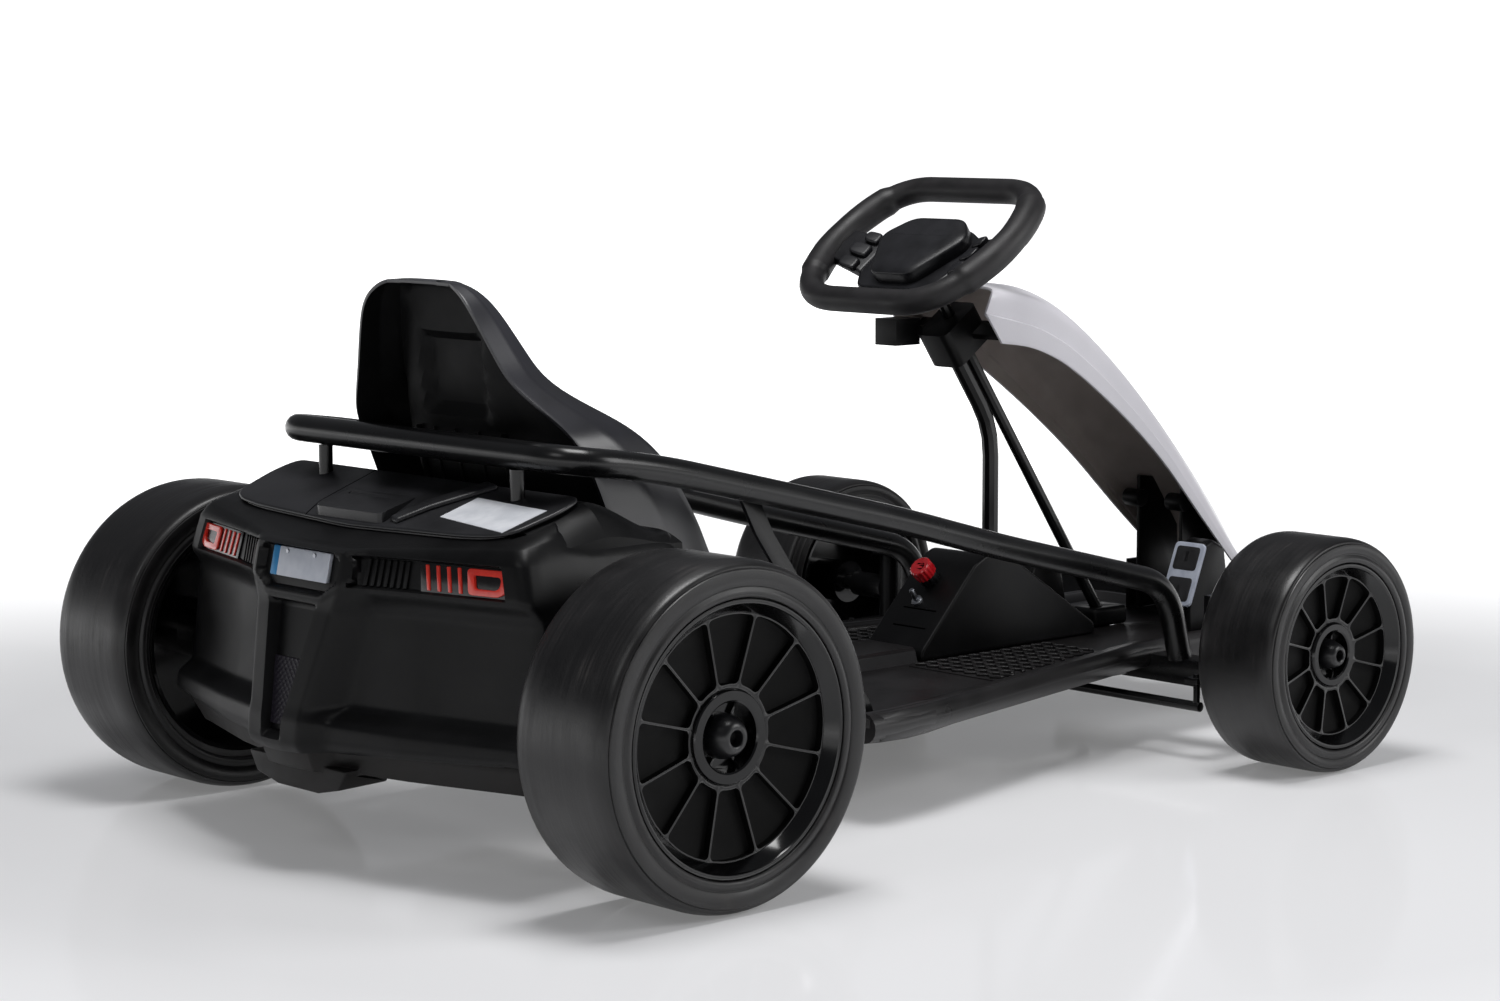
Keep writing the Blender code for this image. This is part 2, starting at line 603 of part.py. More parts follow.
def frame(kart):
    for name, side in (("frame_tube_left", 1), ("frame_tube_right", -1)):
        corners = [(-0.012, side * FRAME_REAR_Y, FRAME_Z), (0.270, side * FRAME_REAR_Y, FRAME_Z),
                   (0.370, side * (pan_half(0.37) - 0.030), FRAME_Z),
                   (0.700, side * FRAME_FRONT_Y, FRAME_Z),
                   (WHEELBASE - BEAM_HALF_X - GAP, side * FRAME_FRONT_Y, FRAME_Z)]
        tube(name, corners, FRAME_R, BLACK_PAINT, kart, bend=0.05)

    form = bmesh.new()
    low, high = BEAM_Z
    reach = KINGPIN_Y - 0.024
    box(form, (WHEELBASE - BEAM_HALF_X, -reach, low), (WHEELBASE + BEAM_HALF_X, reach, high))
    beam = mesh_object("front_beam", form, BLACK_PAINT, kart)
    half = BEAM_HALF_X - 0.001
    for label, side in (("left", 1), ("right", -1)):
        form = bmesh.new()
        rod(form, (WHEELBASE, side * FRAME_FRONT_Y, FRAME_Z), (BUMPER_BACK_X, side * FRAME_FRONT_Y, FRAME_Z),
            FRAME_R - 0.0002)
        boolean(beam, cutter("nose_tube_" + label, form, kart), "UNION")
        form = bmesh.new()
        # a C in the front view: lower ear, back plate, upper ear
        foot, top = low - 0.002, YOKE_TOP_Z
        c_shape = [(-0.030, foot), (0.014, foot), (0.014, foot + EAR), (-0.022, foot + EAR),
                   (-0.022, top - EAR), (0.014, top - EAR), (0.014, top), (-0.030, top)]
        loft(form, [[(x, side * (KINGPIN_Y + dy), z) for dy, z in c_shape]
                    for x in (WHEELBASE - half, WHEELBASE + half)])
        boolean(beam, cutter("yoke_" + label, form, kart), "UNION")
        form = bmesh.new()
        rod(form, (WHEELBASE, side * KINGPIN_Y, low - 0.01), (WHEELBASE, side * KINGPIN_Y, YOKE_TOP_Z + 0.01),
            PIN_R + RUNNING)
        boolean(beam, cutter("kingpin_hole_" + label, form, kart))


def knuckles(kart):
    """Stub axles that turn on the kingpins, each with an arm back to the tie rod."""
    low, high = BEAM_Z[0] - 0.002 + EAR + RUNNING, YOKE_TOP_Z - EAR - RUNNING
    tip = axle_end_y(FRONT_TRACK, FRONT_TYRE_W) - KINGPIN_Y
    for name, side in (("knuckle_left", 1), ("knuckle_right", -1)):
        pivot = empty(name + "_axis", (WHEELBASE, side * KINGPIN_Y, 0.0), kart)
        form = bmesh.new()
        rod(form, (0, 0, low), (0, 0, high), BARREL_R)
        knuckle = mesh_object(name, form, BLACK_PAINT, pivot)
        pieces = []
        form = bmesh.new()
        rod(form, (0, 0, low - PIN_OUT), (0, 0, high + PIN_OUT), PIN_R)
        pieces.append(("pin", form))
        form = bmesh.new()
        rod(form, (0, 0, FRONT_TYRE_R), (0, side * tip, FRONT_TYRE_R), AXLE_R, 20)
        pieces.append(("stub", form))
        form = bmesh.new()
        rod(form, (0, side * 0.004, FRONT_TYRE_R), (0, side * COLLAR_OUT, FRONT_TYRE_R), COLLAR_R)
        pieces.append(("collar", form))
        form = bmesh.new()
        box(form, (-STEER_ARM - 0.009, -ARM_HALF, ARM_Z), (0.0, ARM_HALF, ARM_Z + ARM_THICK))
        pieces.append(("arm", form))
        for label, piece in pieces:
            boolean(knuckle, cutter(name + "_" + label, piece, pivot), "UNION")
        form = bmesh.new()
        rod(form, (-STEER_ARM, 0, ARM_Z - 0.01), (-STEER_ARM, 0, ARM_Z + 0.02), LINK_PIN_R + RUNNING, 12)
        boolean(knuckle, cutter(name + "_eye", form, pivot))


BARREL_R = 0.011             # the knuckle's upright barrel
COLLAR_R = 0.0135
COLLAR_OUT = 0.050
PIN_OUT = 0.009              # the kingpin shows this far beyond the barrel
ARM_Z = 0.0785
ARM_HALF = 0.008
ARM_THICK = 0.006
LINK_PIN_R = 0.0035
TIE_ROD_R = 0.005
PLATE_Z = (0.042, 0.046)     # slotted plate that the column's crank drives
CRANK_DROP = 0.022


def column_place(lx, ly, lz):
    """A point given along the column's own axes, in the kart's frame."""
    c, s = math.cos(STEER_LEAN), math.sin(STEER_LEAN)
    return Vector((HUB_X + lx * c - lz * s, ly, HUB_Z + lx * s + lz * c))


CRANK_LZ = -(HUB_Z - 0.088) / math.cos(STEER_LEAN)


def tie_rod(kart):
    """One rod from knuckle to knuckle, with a slotted plate for the crank."""
    x = WHEELBASE - STEER_ARM
    pivot = empty("tie_rod_axis", (x, KINGPIN_Y, 0.0), kart)
    shift = -KINGPIN_Y
    form = bmesh.new()
    reach = KINGPIN_Y + 0.005
    rod(form, (0, shift - reach, TIE_ROD_Z), (0, shift + reach, TIE_ROD_Z), TIE_ROD_R, 12)
    link = mesh_object("tie_rod", form, BLACK_PAINT, pivot)
    crank = column_place(-STEER_ARM, 0.0, CRANK_LZ)
    pin_x = crank.x + (crank.z - (PLATE_Z[0] + PLATE_Z[1]) / 2) * math.tan(STEER_LEAN) - x
    pieces = []
    form = bmesh.new()
    box(form, (-0.008, shift - 0.016, PLATE_Z[0]), (pin_x + 0.024, shift + 0.016, PLATE_Z[1]))
    pieces.append(("plate", form))
    form = bmesh.new()
    box(form, (-0.0075, shift - 0.016, PLATE_Z[0] + 0.001), (0.0075, shift + 0.016, TIE_ROD_Z + 0.003))
    pieces.append(("step", form))
    for label, y in (("left", 0.0), ("right", 2 * shift)):
        form = bmesh.new()
        rod(form, (0, y, TIE_ROD_Z), (0, y, ARM_Z + 0.009), LINK_PIN_R, 12)
        pieces.append(("pin_" + label, form))
    for label, piece in pieces:
        boolean(link, cutter("tie_rod_" + label, piece, pivot), "UNION")
    form = bmesh.new()
    slot = SHAFT_R + 0.0015
    box(form, (pin_x - slot - 0.008, shift - slot, PLATE_Z[0] - 0.005),
        (pin_x + slot + 0.006, shift + slot, PLATE_Z[1] + 0.005))
    boolean(link, cutter("tie_rod_slot", form, pivot))


# Steering: bent shaft with its crank, squared wheel and hub

def steering(kart):
    axis = empty("steering_axis", (HUB_X, 0.0, HUB_Z), kart, turn_y=-STEER_LEAN)
    tube("steering_shaft", [(0, 0, -0.0503), (0, 0, CRANK_LZ), (-STEER_ARM, 0, CRANK_LZ),
                            (-STEER_ARM, 0, CRANK_LZ - CRANK_DROP)], SHAFT_R, BLACK_PAINT, axis, bend=0.012)

    half_grip = [(-0.082, 0.094), (0.012, 0.1250), (0.098, 0.098)]
    corners = half_grip + [(x, -y) for x, y in reversed(half_grip)]
    path = rounded_outline(corners, GRIP_BEND, 4)
    curve = bpy.data.curves.new("steering_wheel", "CURVE")
    curve.dimensions = "3D"
    curve.bevel_depth = GRIP_R
    curve.bevel_resolution = TUBE_STEPS
    spline = curve.splines.new("POLY")
    spline.points.add(len(path) - 1)
    for point, spot in zip(spline.points, path):
        point.co = (spot.x, spot.y, 0.0, 1.0)
    spline.use_cyclic_u = True
    curve.materials.append(WHEEL_GRIP)
    grip = bpy.data.objects.new("steering_wheel", curve)
    grip.parent = axis
    COLLECTION.objects.link(grip)

    # Spoke body and airbag-like pad, with the boss that takes the shaft
    form = bmesh.new()
    half_spokes = [(-0.052, 0.050), (-0.026, 0.1005), (0.020, 0.1015), (0.036, 0.056), (0.044, 0.030)]
    spokes = rounded_outline(half_spokes + [(x, -y) for x, y in reversed(half_spokes)], 0.012, 2)
    loft(form, [[(p.x, p.y, -0.010) for p in spokes], [(p.x, p.y, 0.004) for p in spokes]])
    hub = mesh_object("steering_hub", form, BLACK_PLASTIC, axis)
    form = bmesh.new()
    rod(form, (0, 0, -0.050), (0, 0, -0.006), 0.027, 20)
    boolean(hub, cutter("steering_boss", form, axis), "UNION")
    form = bmesh.new()
    for side in (1, -1):
        pod = rounded_outline([(x, side * y) for x, y in BUTTON_POD], 0.008, 2)
        loft(form, [[(p.x, p.y, z) for p in pod] for z in (0.0, 0.010)])
    boolean(hub, cutter("steering_pods", form, axis), "UNION")
    form = bmesh.new()
    half_pad = [(-0.044, 0.030), (0.018, 0.056), (0.048, 0.036)]
    pad = rounded_outline(half_pad + [(x, -y) for x, y in reversed(half_pad)], 0.014, 2)
    loft(form, [[(p.x, p.y, 0.004 + GAP) for p in pad], [(p.x, p.y, 0.016) for p in pad],
                [(p.x * 0.88, p.y * 0.90, 0.022) for p in pad]])
    mesh_object("steering_pad", form, BLACK_PLASTIC, axis)


BUTTON_POD = [(-0.020, 0.062), (0.018, 0.064), (0.014, 0.092), (-0.020, 0.090)]
GRIP_R = 0.0135
GRIP_BEND = 0.052
POST_LX = -0.0165            # the post runs this far behind the shaft
POD_LZ = (-0.125, -0.085)


def column(kart):
    """The bent post, the bearing block at its top and the lower bush."""
    s, c = math.sin(STEER_LEAN), math.cos(STEER_LEAN)
    bend_lz = -(POST_X - HUB_X - POST_LX * c) / s
    bent, head = column_place(POST_LX, 0, bend_lz), column_place(POST_LX, 0, POD_LZ[0] - GAP)
    tube("steering_post", [(POST_X, 0, PAN_Z + GAP), bent, head], POST_R, BLACK_PAINT, kart, bend=0.03)
    form = bmesh.new()
    outline = rounded_outline([(-0.034, -0.021), (0.022, -0.021), (0.022, 0.021), (-0.034, 0.021)], 0.009, 3)
    loft(form, [[column_place(p.x, p.y, lz) for p in outline] for lz in POD_LZ])
    pod = mesh_object("column_block", form, BLACK_PLASTIC, kart)
    form = bmesh.new()
    reach = FAIRING_HOLD_Y
    wings = [(-0.002, -reach), (0.020, -reach), (0.020, reach), (-0.002, reach)]
    loft(form, [[column_place(lx, y, lz) for lx, y in wings] for lz in (-0.112, -0.106)])
    boolean(pod, cutter("column_wings", form, kart), "UNION")

    # Bush on the floor round the shaft's lower end
    form = bmesh.new()
    x = HUB_X + (HUB_Z - PAN_Z) * math.tan(STEER_LEAN)
    box(form, (x - 0.034, -0.018, PAN_Z + GAP), (x + 0.018, 0.018, PAN_Z + 0.020))
    bush = mesh_object("column_bush", form, BLACK_PLASTIC, kart)
    bevel(bush, 0.003, 1)
    form = bmesh.new()
    rod(form, column_place(0, 0, CRANK_LZ - 0.02), column_place(0, 0, CRANK_LZ + 0.08), SHAFT_R + RUNNING, 24)
    boolean(bush, cutter("bush_bore", form, kart))

    form = bmesh.new()
    box(form, (0.606, 0.030, 0.405), (0.640, 0.060, 0.432))
    boolean(pod, cutter("switch_box", form, kart), "UNION")
    form = bmesh.new()
    box(form, (0.636, 0.010, 0.412), (0.668, 0.036, 0.424))
    boolean(pod, cutter("switch_arm", form, kart), "UNION")
    form = bmesh.new()
    low, high = column_place(0, 0, POD_LZ[0] - 0.02), column_place(0, 0, POD_LZ[1] + 0.02)
    rod(form, low, high, SHAFT_R + RUNNING, 24)
    boolean(pod, cutter("column_bore", form, kart))


POST_X = 0.713
FAIRING_HOLD_Y = 0.0650


# Guard rail: three bent tubes round the seat and down to the front beam

RAIL_JOINT_X = 0.205
RAIL_SIDE = [  # x, half width, z of the rail's centre line, from the rear bend to the front
    (0.080, 0.209, 0.3420), (0.395, 0.190, 0.2670),
    (0.535, 0.184, 0.2285), (0.802, 0.180, 0.1610)]
RAIL_REAR_X = -0.0155
RAIL_REAR_Z = 0.3555


def guard_rail(kart):
    bend_start, bend_end = Vector(RAIL_SIDE[0]), Vector(RAIL_SIDE[1])
    along = bend_end - bend_start
    joint = bend_start + along * ((RAIL_JOINT_X - bend_start.x) / along.x)
    start = joint + along.normalized() * GAP
    for name, side in (("rail_left", 1), ("rail_right", -1)):
        corners = [(x, side * y, z) for x, y, z in [tuple(start)] + RAIL_SIDE[1:]]
        corners.append((RAIL_SIDE[-1][0], side * RAIL_SIDE[-1][1], BEAM_Z[1] + GAP))
        tube(name, corners, RAIL_R, BLACK_PAINT, kart, bend=0.045)
    rear = [tuple(joint), RAIL_SIDE[0]]
    corner = [(RAIL_REAR_X, 0.210, RAIL_REAR_Z), (RAIL_REAR_X, -0.210, RAIL_REAR_Z)]
    corners = rear + corner + [(x, -y, z) for x, y, z in reversed(rear)]
    tube("rail_rear", corners, RAIL_R, BLACK_PAINT, kart, bend=0.055)

    # Flat struts from inside the rail down to the floor's rear corners
    for name, side in (("rail_strut_left", 1), ("rail_strut_right", -1)):
        form = bmesh.new()
        rows = [  # x, z, half width, y inner
            (0.205, 0.312, 0.0105, 0.1815), (0.226, 0.270, 0.0105, 0.1830),
            (0.330, PAN_Z + 0.012, 0.0105, 0.2000), (0.332, PAN_Z + GAP, 0.0125, 0.2010)]
        loft(form, [[(x - h, side * y, z), (x + h, side * y, z), (x + h, side * (y + 0.005), z),
                     (x - h, side * (y + 0.005), z)] for x, z, h, y in rows])
        mesh_object(name, form, BLACK_PAINT, kart)


# Seat: a moulded bucket, open behind and below

SEAT_ROWS = [  # edge (x, z), wing crest (x, z), middle (x, z), half width
    ((-0.014, 0.4960), (0.012, 0.5020), (0.012, 0.5030), 0.058),
    ((-0.018, 0.4900), (0.034, 0.4960), (0.030, 0.4960), 0.068),
    ((-0.020, 0.4700), (0.040, 0.4750), (0.020, 0.4700), 0.082),
    ((-0.014, 0.4300), (0.052, 0.4350), (0.022, 0.4300), 0.104),
    ((-0.002, 0.3950), (0.078, 0.3980), (0.028, 0.3900), 0.132),
    ((0.012, 0.3550), (0.125, 0.3680), (0.036, 0.3450), 0.156),
    ((0.018, 0.3000), (0.160, 0.3280), (0.048, 0.2950), 0.164),
    ((0.020, 0.2400), (0.184, 0.2850), (0.072, 0.2450), 0.165),
    ((0.022, 0.1800), (0.192, 0.2500), (0.125, 0.2180), 0.165),
    ((0.026, FRAME_TOP_Z + GAP), (0.205, 0.2280), (0.205, 0.2100), 0.165),
    ((0.285, FRAME_TOP_Z + GAP), (0.280, 0.2200), (0.280, 0.2080), 0.165),
    ((0.292, FRAME_TOP_Z + GAP), (0.292, 0.1900), (0.292, 0.1900), 0.165),
    ((0.292, FRAME_TOP_Z + GAP), (0.292, 0.1100), (0.292, 0.1100), 0.165),
]


def seat(kart):
    form = bmesh.new()
    grid = []
    for (ex, ez), (wx, wz), (mx, mz), half in SEAT_ROWS[:-1]:
        left = [(ex, half, ez), (wx - 0.010, half, wz - 0.006), (wx, half - 0.006, wz),
                (wx - 0.004, half - 0.020, wz - 0.002),
                (mx + (wx - mx) * 0.25, half * 0.62, mz + (wz - mz) * 0.25),
                (mx, half * 0.32, mz)]
        row = left + [(mx, 0.0, mz)] + [(x, -y, z) for x, y, z in reversed(left)]
        grid.append([form.verts.new(p) for p in row])
    for row, after in zip(grid, grid[1:]):
        for j in range(len(row) - 1):
            form.faces.new((row[j], row[j + 1], after[j + 1], after[j]))
    # front apron down to the frame
    last = grid[-1]
    foot = [form.verts.new((v.co.x, v.co.y, FRAME_TOP_Z + GAP)) for v in last[2:-2]]
    form.faces.new((last[0], last[1], last[2], foot[0]))
    for j in range(len(foot) - 1):
        form.faces.new((last[j + 2], last[j + 3], foot[j + 1], foot[j]))
    form.faces.new((last[-1], foot[-1], last[-3], last[-2]))
    made = mesh_object("seat", form, SEAT_PLASTIC, kart)
    shell = made.modifiers.new("wall", "SOLIDIFY")
    shell.thickness = SHELL
    shell.offset = 1.0


# Floor: a moulded pan with a rolled rim and a middle tunnel

def pan_loop(inset, z):
    stations = (PAN_REAR_X, 0.370, 0.500, 0.640, 0.790, PAN_FRONT_X)
    left = []
    for x in stations:
        here = min(max(x, PAN_REAR_X + inset), PAN_FRONT_X - inset)
        left.append((here, pan_half(here) - inset))
    outline = rounded_outline(left + [(x, -y) for x, y in reversed(left)], 0.022, 2)
    return [(p.x, p.y, z) for p in outline]


PATCH_X = (0.545, 0.745)      # raised anti-slip patches under the child's feet
PATCH_Y = 0.050
PATCH_EDGE = 0.034
PATCH_RISE = 0.0012


def floor_pan(kart):
    form = bmesh.new()
    skirt_z, rim_z = 0.077, PAN_Z + 0.008
    under_z = PAN_Z - PAN_SKIN
    loft(form, [pan_loop(0.008, under_z), pan_loop(0.0075, skirt_z), pan_loop(0.003, skirt_z),
                pan_loop(0.0, skirt_z + 0.006), pan_loop(0.0, rim_z - 0.005), pan_loop(0.003, rim_z),
                pan_loop(0.010, rim_z), pan_loop(0.016, PAN_Z)])
    pan = mesh_object("floor_pan", form, BLACK_PLASTIC, kart)
    form = bmesh.new()
    rows = [(0.040, PAN_Z - 0.002), (0.036, PAN_Z + 0.012), (0.032, PAN_Z + 0.015)]
    loft(form, [[(PAN_REAR_X + 0.012, -y, z), (CONSOLE[0][0] - 0.004, -y, z), (CONSOLE[0][0] - 0.004, y, z),
                 (PAN_REAR_X + 0.012, y, z)] for y, z in rows])
    boolean(pan, cutter("tunnel", form, kart), "UNION")
    for label, side in (("left", 1), ("right", -1)):
        rear_x, front_x = PATCH_X
        patch = [(rear_x, PATCH_Y), (front_x, PATCH_Y), (front_x, pan_half(front_x) - PATCH_EDGE),
                 (rear_x, pan_half(rear_x) - PATCH_EDGE)]
        form = bmesh.new()
        loft(form, [[(x, side * y, z) for x, y in patch] for z in (PAN_Z - 0.002, PAN_Z + PATCH_RISE)])
        boolean(pan, cutter("foot_patch_" + label, form, kart), "UNION")
    form = bmesh.new()
    beam_x = BEAM_HALF_X + GAP
    box(form, (WHEELBASE - beam_x, -0.30, 0.05), (WHEELBASE + beam_x, 0.30, under_z - 0.0001))
    boolean(pan, cutter("beam_notch", form, kart))
    form = bmesh.new()
    rod(form, column_place(0, 0, CRANK_LZ - 0.03), column_place(0, 0, CRANK_LZ + 0.05), SHAFT_R + 0.008, 20)
    boolean(pan, cutter("shaft_hole", form, kart))
    for label, side in (("left", 1), ("right", -1)):
        form = bmesh.new()
        box(form, (BUMPER_BACK_X - 0.2, side * FRAME_FRONT_Y - 0.014, 0.05),
            (BUMPER_BACK_X + 0.1, side * FRAME_FRONT_Y + 0.014, under_z - 0.0001))
        boolean(pan, cutter("nose_notch_" + label, form, kart))
    form = bmesh.new()
    box(form, (PAN_REAR_X - 0.02, -0.24, 0.05), (PAN_REAR_X + 0.02, 0.24, under_z - 0.0001))
    boolean(pan, cutter("rear_notch", form, kart))


CONSOLE = [(0.572, 0.0), (0.574, 0.008), (0.650, 0.088), (0.664, 0.100), (0.706, 0.092), (0.765, 0.054),
           (0.830, 0.012), (0.832, 0.0)]
CONSOLE_HALF = 0.040


def console(kart):
    outline = [(x, PAN_Z + GAP + z) for x, z in CONSOLE]
    form = bmesh.new()
    loft(form, [[(x, y, z) for x, z in outline] for y in (-CONSOLE_HALF, CONSOLE_HALF)])
    fin = mesh_object("console", form, BLACK_PLASTIC, kart)
    bevel(fin, 0.004, 2, 50)
    form = bmesh.new()
    rod(form, (POST_X, 0, PAN_Z - 0.02), (POST_X, 0, PAN_Z + 0.15), POST_R + GAP, 24)
    boolean(fin, cutter("post_hole", form, kart))

    # Push button on its sleeve, on the console's sloping rear face
    foot = Vector((0.628, 0.008, PAN_Z + 0.0646))
    out = Vector((-0.7245, 0.0, 0.6883))
    form = bmesh.new()
    rod(form, foot + out * 0.0012, foot + out * 0.026, 0.013, 20)
    knob = mesh_object("push_button", form, LAMP_RED, kart)
    form = bmesh.new()
    rod(form, foot + out * 0.024, foot + out * 0.036, 0.015, 20)
    boolean(knob, cutter("button_head", form, kart), "UNION")


# Pedals: the drive pedal on the right, a plain foot rest on the left

def pedals(kart):
    wedge = [(0.868, 0.0), (0.866, 0.030), (0.893, 0.096), (0.905, 0.100), (0.925, 0.090), (0.940, 0.0)]
    for name, side in (("drive_pedal", -1), ("foot_rest", 1)):
        form = bmesh.new()
        ya, yb = side * 0.097, side * 0.128
        if side < 0:
            ya, yb = side * 0.094, side * 0.126
        loft(form, [[(x, y, PAN_Z + GAP + z) for x, z in wedge] for y in (ya, yb)])
        base = mesh_object(name, form, BLACK_PLASTIC, kart)
        bevel(base, 0.004, 2, 30)
    # the grey tread pad on the drive pedal's face
    form = bmesh.new()
    low, high = Vector((0.8665, 0.032)), Vector((0.8925, 0.095))
    back = Vector((-0.92, 0.38)).normalized()
    near = [low + back * 0.0006, high + back * 0.0006]
    far = [high + back * 0.005, low + back * 0.005]
    section = [(p.x, PAN_Z + p.y) for p in near + far]
    loft(form, [[(x, y, z) for x, z in section] for y in (-0.091, -0.129)])
    mesh_object("pedal_pad", form, PEDAL_GREY, kart)


# Nose: the long white fairing, its bracket and the bumper

FAIRING_ROWS = [  # crown (x, z), lower edge (x, z), half width
    ((0.708, 0.4700), (0.654, 0.4110), 0.0690), ((0.750, 0.4640), (0.700, 0.4050), 0.0700),
    ((0.798, 0.4490), (0.745, 0.3880), 0.0705), ((0.850, 0.4160), (0.790, 0.3600), 0.0710),
    ((0.911, 0.3690), (0.850, 0.3180), 0.0700), ((0.977, 0.3070), (0.910, 0.2700), 0.0670),
    ((1.033, 0.2480), (0.970, 0.2120), 0.0620), ((1.073, 0.2010), (1.012, 0.1740), 0.0575),
    ((1.104, 0.1570), (1.056, 0.1350), 0.0530)]
SECTION = [  # share down, share out
    (0.0, 0.0), (0.012, 0.46), (0.065, 0.75), (0.22, 0.93), (0.55, 0.985), (1.0, 1.0)]


def fairing(kart):
    form = bmesh.new()
    grid = []
    for (cx, cz), (ex, ez), half in FAIRING_ROWS:
        left = [(cx + (ex - cx) * down, half * out, cz + (ez - cz) * down) for down, out in SECTION]
        row = [(x, y, z) for x, y, z in reversed(left)] + [(x, -y, z) for x, y, z in left[1:]]
        grid.append([form.verts.new(p) for p in row])
    for row, after in zip(grid, grid[1:]):
        for j in range(len(row) - 1):
            form.faces.new((row[j], row[j + 1], after[j + 1], after[j]))
    made = mesh_object("fairing", form, WHITE_PLASTIC, kart)
    shell = made.modifiers.new("wall", "SOLIDIFY")
    shell.thickness = SHELL
    shell.offset = -1.0
    shell.use_even_offset = True


BRACKET_X = (0.986, 1.011)
BRACKET_Y = 0.0498
BRACKET_SKIN = 0.004
BRACKET_TOP_Z = 0.240
BUMPER_BACK_X = 1.064


def nose(kart):
    # Upright plates inside the fairing, on a foot that is screwed to the floor
    form = bmesh.new()
    x0, x1 = BRACKET_X
    foot_z = PAN_Z + GAP
    outer, top_z, skin_z = BRACKET_Y + BRACKET_SKIN, BRACKET_TOP_Z, foot_z + BRACKET_SKIN
    half_u = [(outer, foot_z), (outer, top_z), (BRACKET_Y, top_z), (BRACKET_Y, skin_z)]
    u_shape = half_u + [(-y, z) for y, z in reversed(half_u)]
    loft(form, [[(x, y, z) for y, z in u_shape] for x in (x0, x1)])
    mesh_object("fairing_bracket", form, BLACK_PLASTIC, kart)

    # Bumper: a bowed moulding on the nose tubes
    form = bmesh.new()
    low, high = 0.064, 0.118
    sections = []
    for k in range(9):
        share = -1 + k / 4
        y = share * 0.215
        front = NOSE_X - 0.055 * share * share
        back = max(BUMPER_BACK_X + GAP, front - 0.05) - 0.02 * (abs(share) > 0.9)
        sections.append([(back, y, low + 0.006), (front - 0.008, y, low), (front, y, low + 0.012),
                         (front, y, high - 0.012), (front - 0.010, y, high), (back, y, high - 0.004)])
    loft(form, sections)
    mesh_object("bumper", form, BLACK_PLASTIC, kart)


clear_scene()
KART = empty("kart", (-MIDDLE_X, 0.0, 0.0))
wheels(KART)
rear_end(KART)
rear_cover(KART)
rear_trim(KART)
frame(KART)
knuckles(KART)
tie_rod(KART)
steering(KART)
column(KART)
guard_rail(KART)
seat(KART)
floor_pan(KART)
console(KART)
pedals(KART)
fairing(KART)
nose(KART)
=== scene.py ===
# Looks of a child's electric drift kart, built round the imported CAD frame.
# Metres, +X forward, +Y to the driver's left, +Z up.  Places are measured from the rear axle.

import json
import math

import bmesh
import bpy
import numpy as np
from mathutils import Matrix, Vector

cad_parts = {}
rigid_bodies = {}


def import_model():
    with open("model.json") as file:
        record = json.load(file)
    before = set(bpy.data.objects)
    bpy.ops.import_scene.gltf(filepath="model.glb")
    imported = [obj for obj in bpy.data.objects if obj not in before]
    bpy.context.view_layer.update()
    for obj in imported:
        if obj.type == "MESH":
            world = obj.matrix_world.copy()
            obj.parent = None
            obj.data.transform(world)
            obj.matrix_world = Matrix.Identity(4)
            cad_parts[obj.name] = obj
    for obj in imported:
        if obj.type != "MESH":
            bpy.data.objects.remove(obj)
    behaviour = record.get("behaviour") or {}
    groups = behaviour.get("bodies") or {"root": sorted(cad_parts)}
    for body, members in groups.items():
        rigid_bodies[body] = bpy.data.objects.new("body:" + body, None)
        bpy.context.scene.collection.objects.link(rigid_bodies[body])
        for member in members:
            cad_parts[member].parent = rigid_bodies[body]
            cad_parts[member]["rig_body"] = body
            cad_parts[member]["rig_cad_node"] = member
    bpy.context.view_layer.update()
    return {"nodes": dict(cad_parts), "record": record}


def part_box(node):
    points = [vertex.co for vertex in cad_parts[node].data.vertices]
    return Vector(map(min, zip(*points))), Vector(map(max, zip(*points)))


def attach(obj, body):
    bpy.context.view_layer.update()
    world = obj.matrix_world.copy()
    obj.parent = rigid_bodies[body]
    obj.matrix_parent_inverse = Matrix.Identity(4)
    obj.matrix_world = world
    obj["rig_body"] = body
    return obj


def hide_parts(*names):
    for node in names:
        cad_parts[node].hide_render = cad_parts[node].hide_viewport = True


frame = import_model()

# Frame: lower tubes, cross beams and the bent guard rail, all of welded steel tube.
# It is powder coated in one go after welding, a smooth black with a slight orange peel
# that draws long sharp streaks of light along the rail.

record = frame["record"]
body_of = {node: body for body, nodes in record["behaviour"]["bodies"].items() for node in nodes}
AXLE_X = sum(corner.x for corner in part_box("rear_axle")) / 2


def linear(hex_colour):
    """An sRGB hex colour as the linear RGBA that Blender's sockets take."""
    channels = [int(hex_colour[k:k + 2], 16) / 255 for k in (1, 3, 5)]
    return (*[c / 12.92 if c <= 0.04045 else ((c + 0.055) / 1.055) ** 2.4 for c in channels], 1.0)


def link(tree, made, links):
    """Joins a node's inputs, by name or place, to the outputs of other nodes."""
    for name, (source, output) in links.items():
        tree.links.new(source.outputs[output], made.inputs[name])
    return made


def add_node(tree, kind, settings, links=None):
    """Adds a node, sets its sockets, properties or colour ramp by name, and joins its inputs."""
    made = tree.nodes.new("ShaderNode" + kind)
    for name, value in settings.items():
        if name == "ramp":
            stops = made.color_ramp.elements
            for k, (place, colour) in enumerate(value):
                stop = stops[k] if k < 2 else stops.new(place)
                stop.position, stop.color = place, colour
        elif name in made.inputs:
            made.inputs[name].default_value = value
        else:
            setattr(made, name, value)
    return link(tree, made, links or {})


def new_surface(name, settings):
    """A material with only its Principled shader, set from its sockets' names."""
    made = bpy.data.materials.new(name)
    made.use_nodes = True
    tree = made.node_tree
    tree.nodes.clear()
    shader = add_node(tree, "BsdfPrincipled", settings)
    add_node(tree, "OutputMaterial", {}, {"Surface": (shader, "BSDF")})
    return made, tree, shader


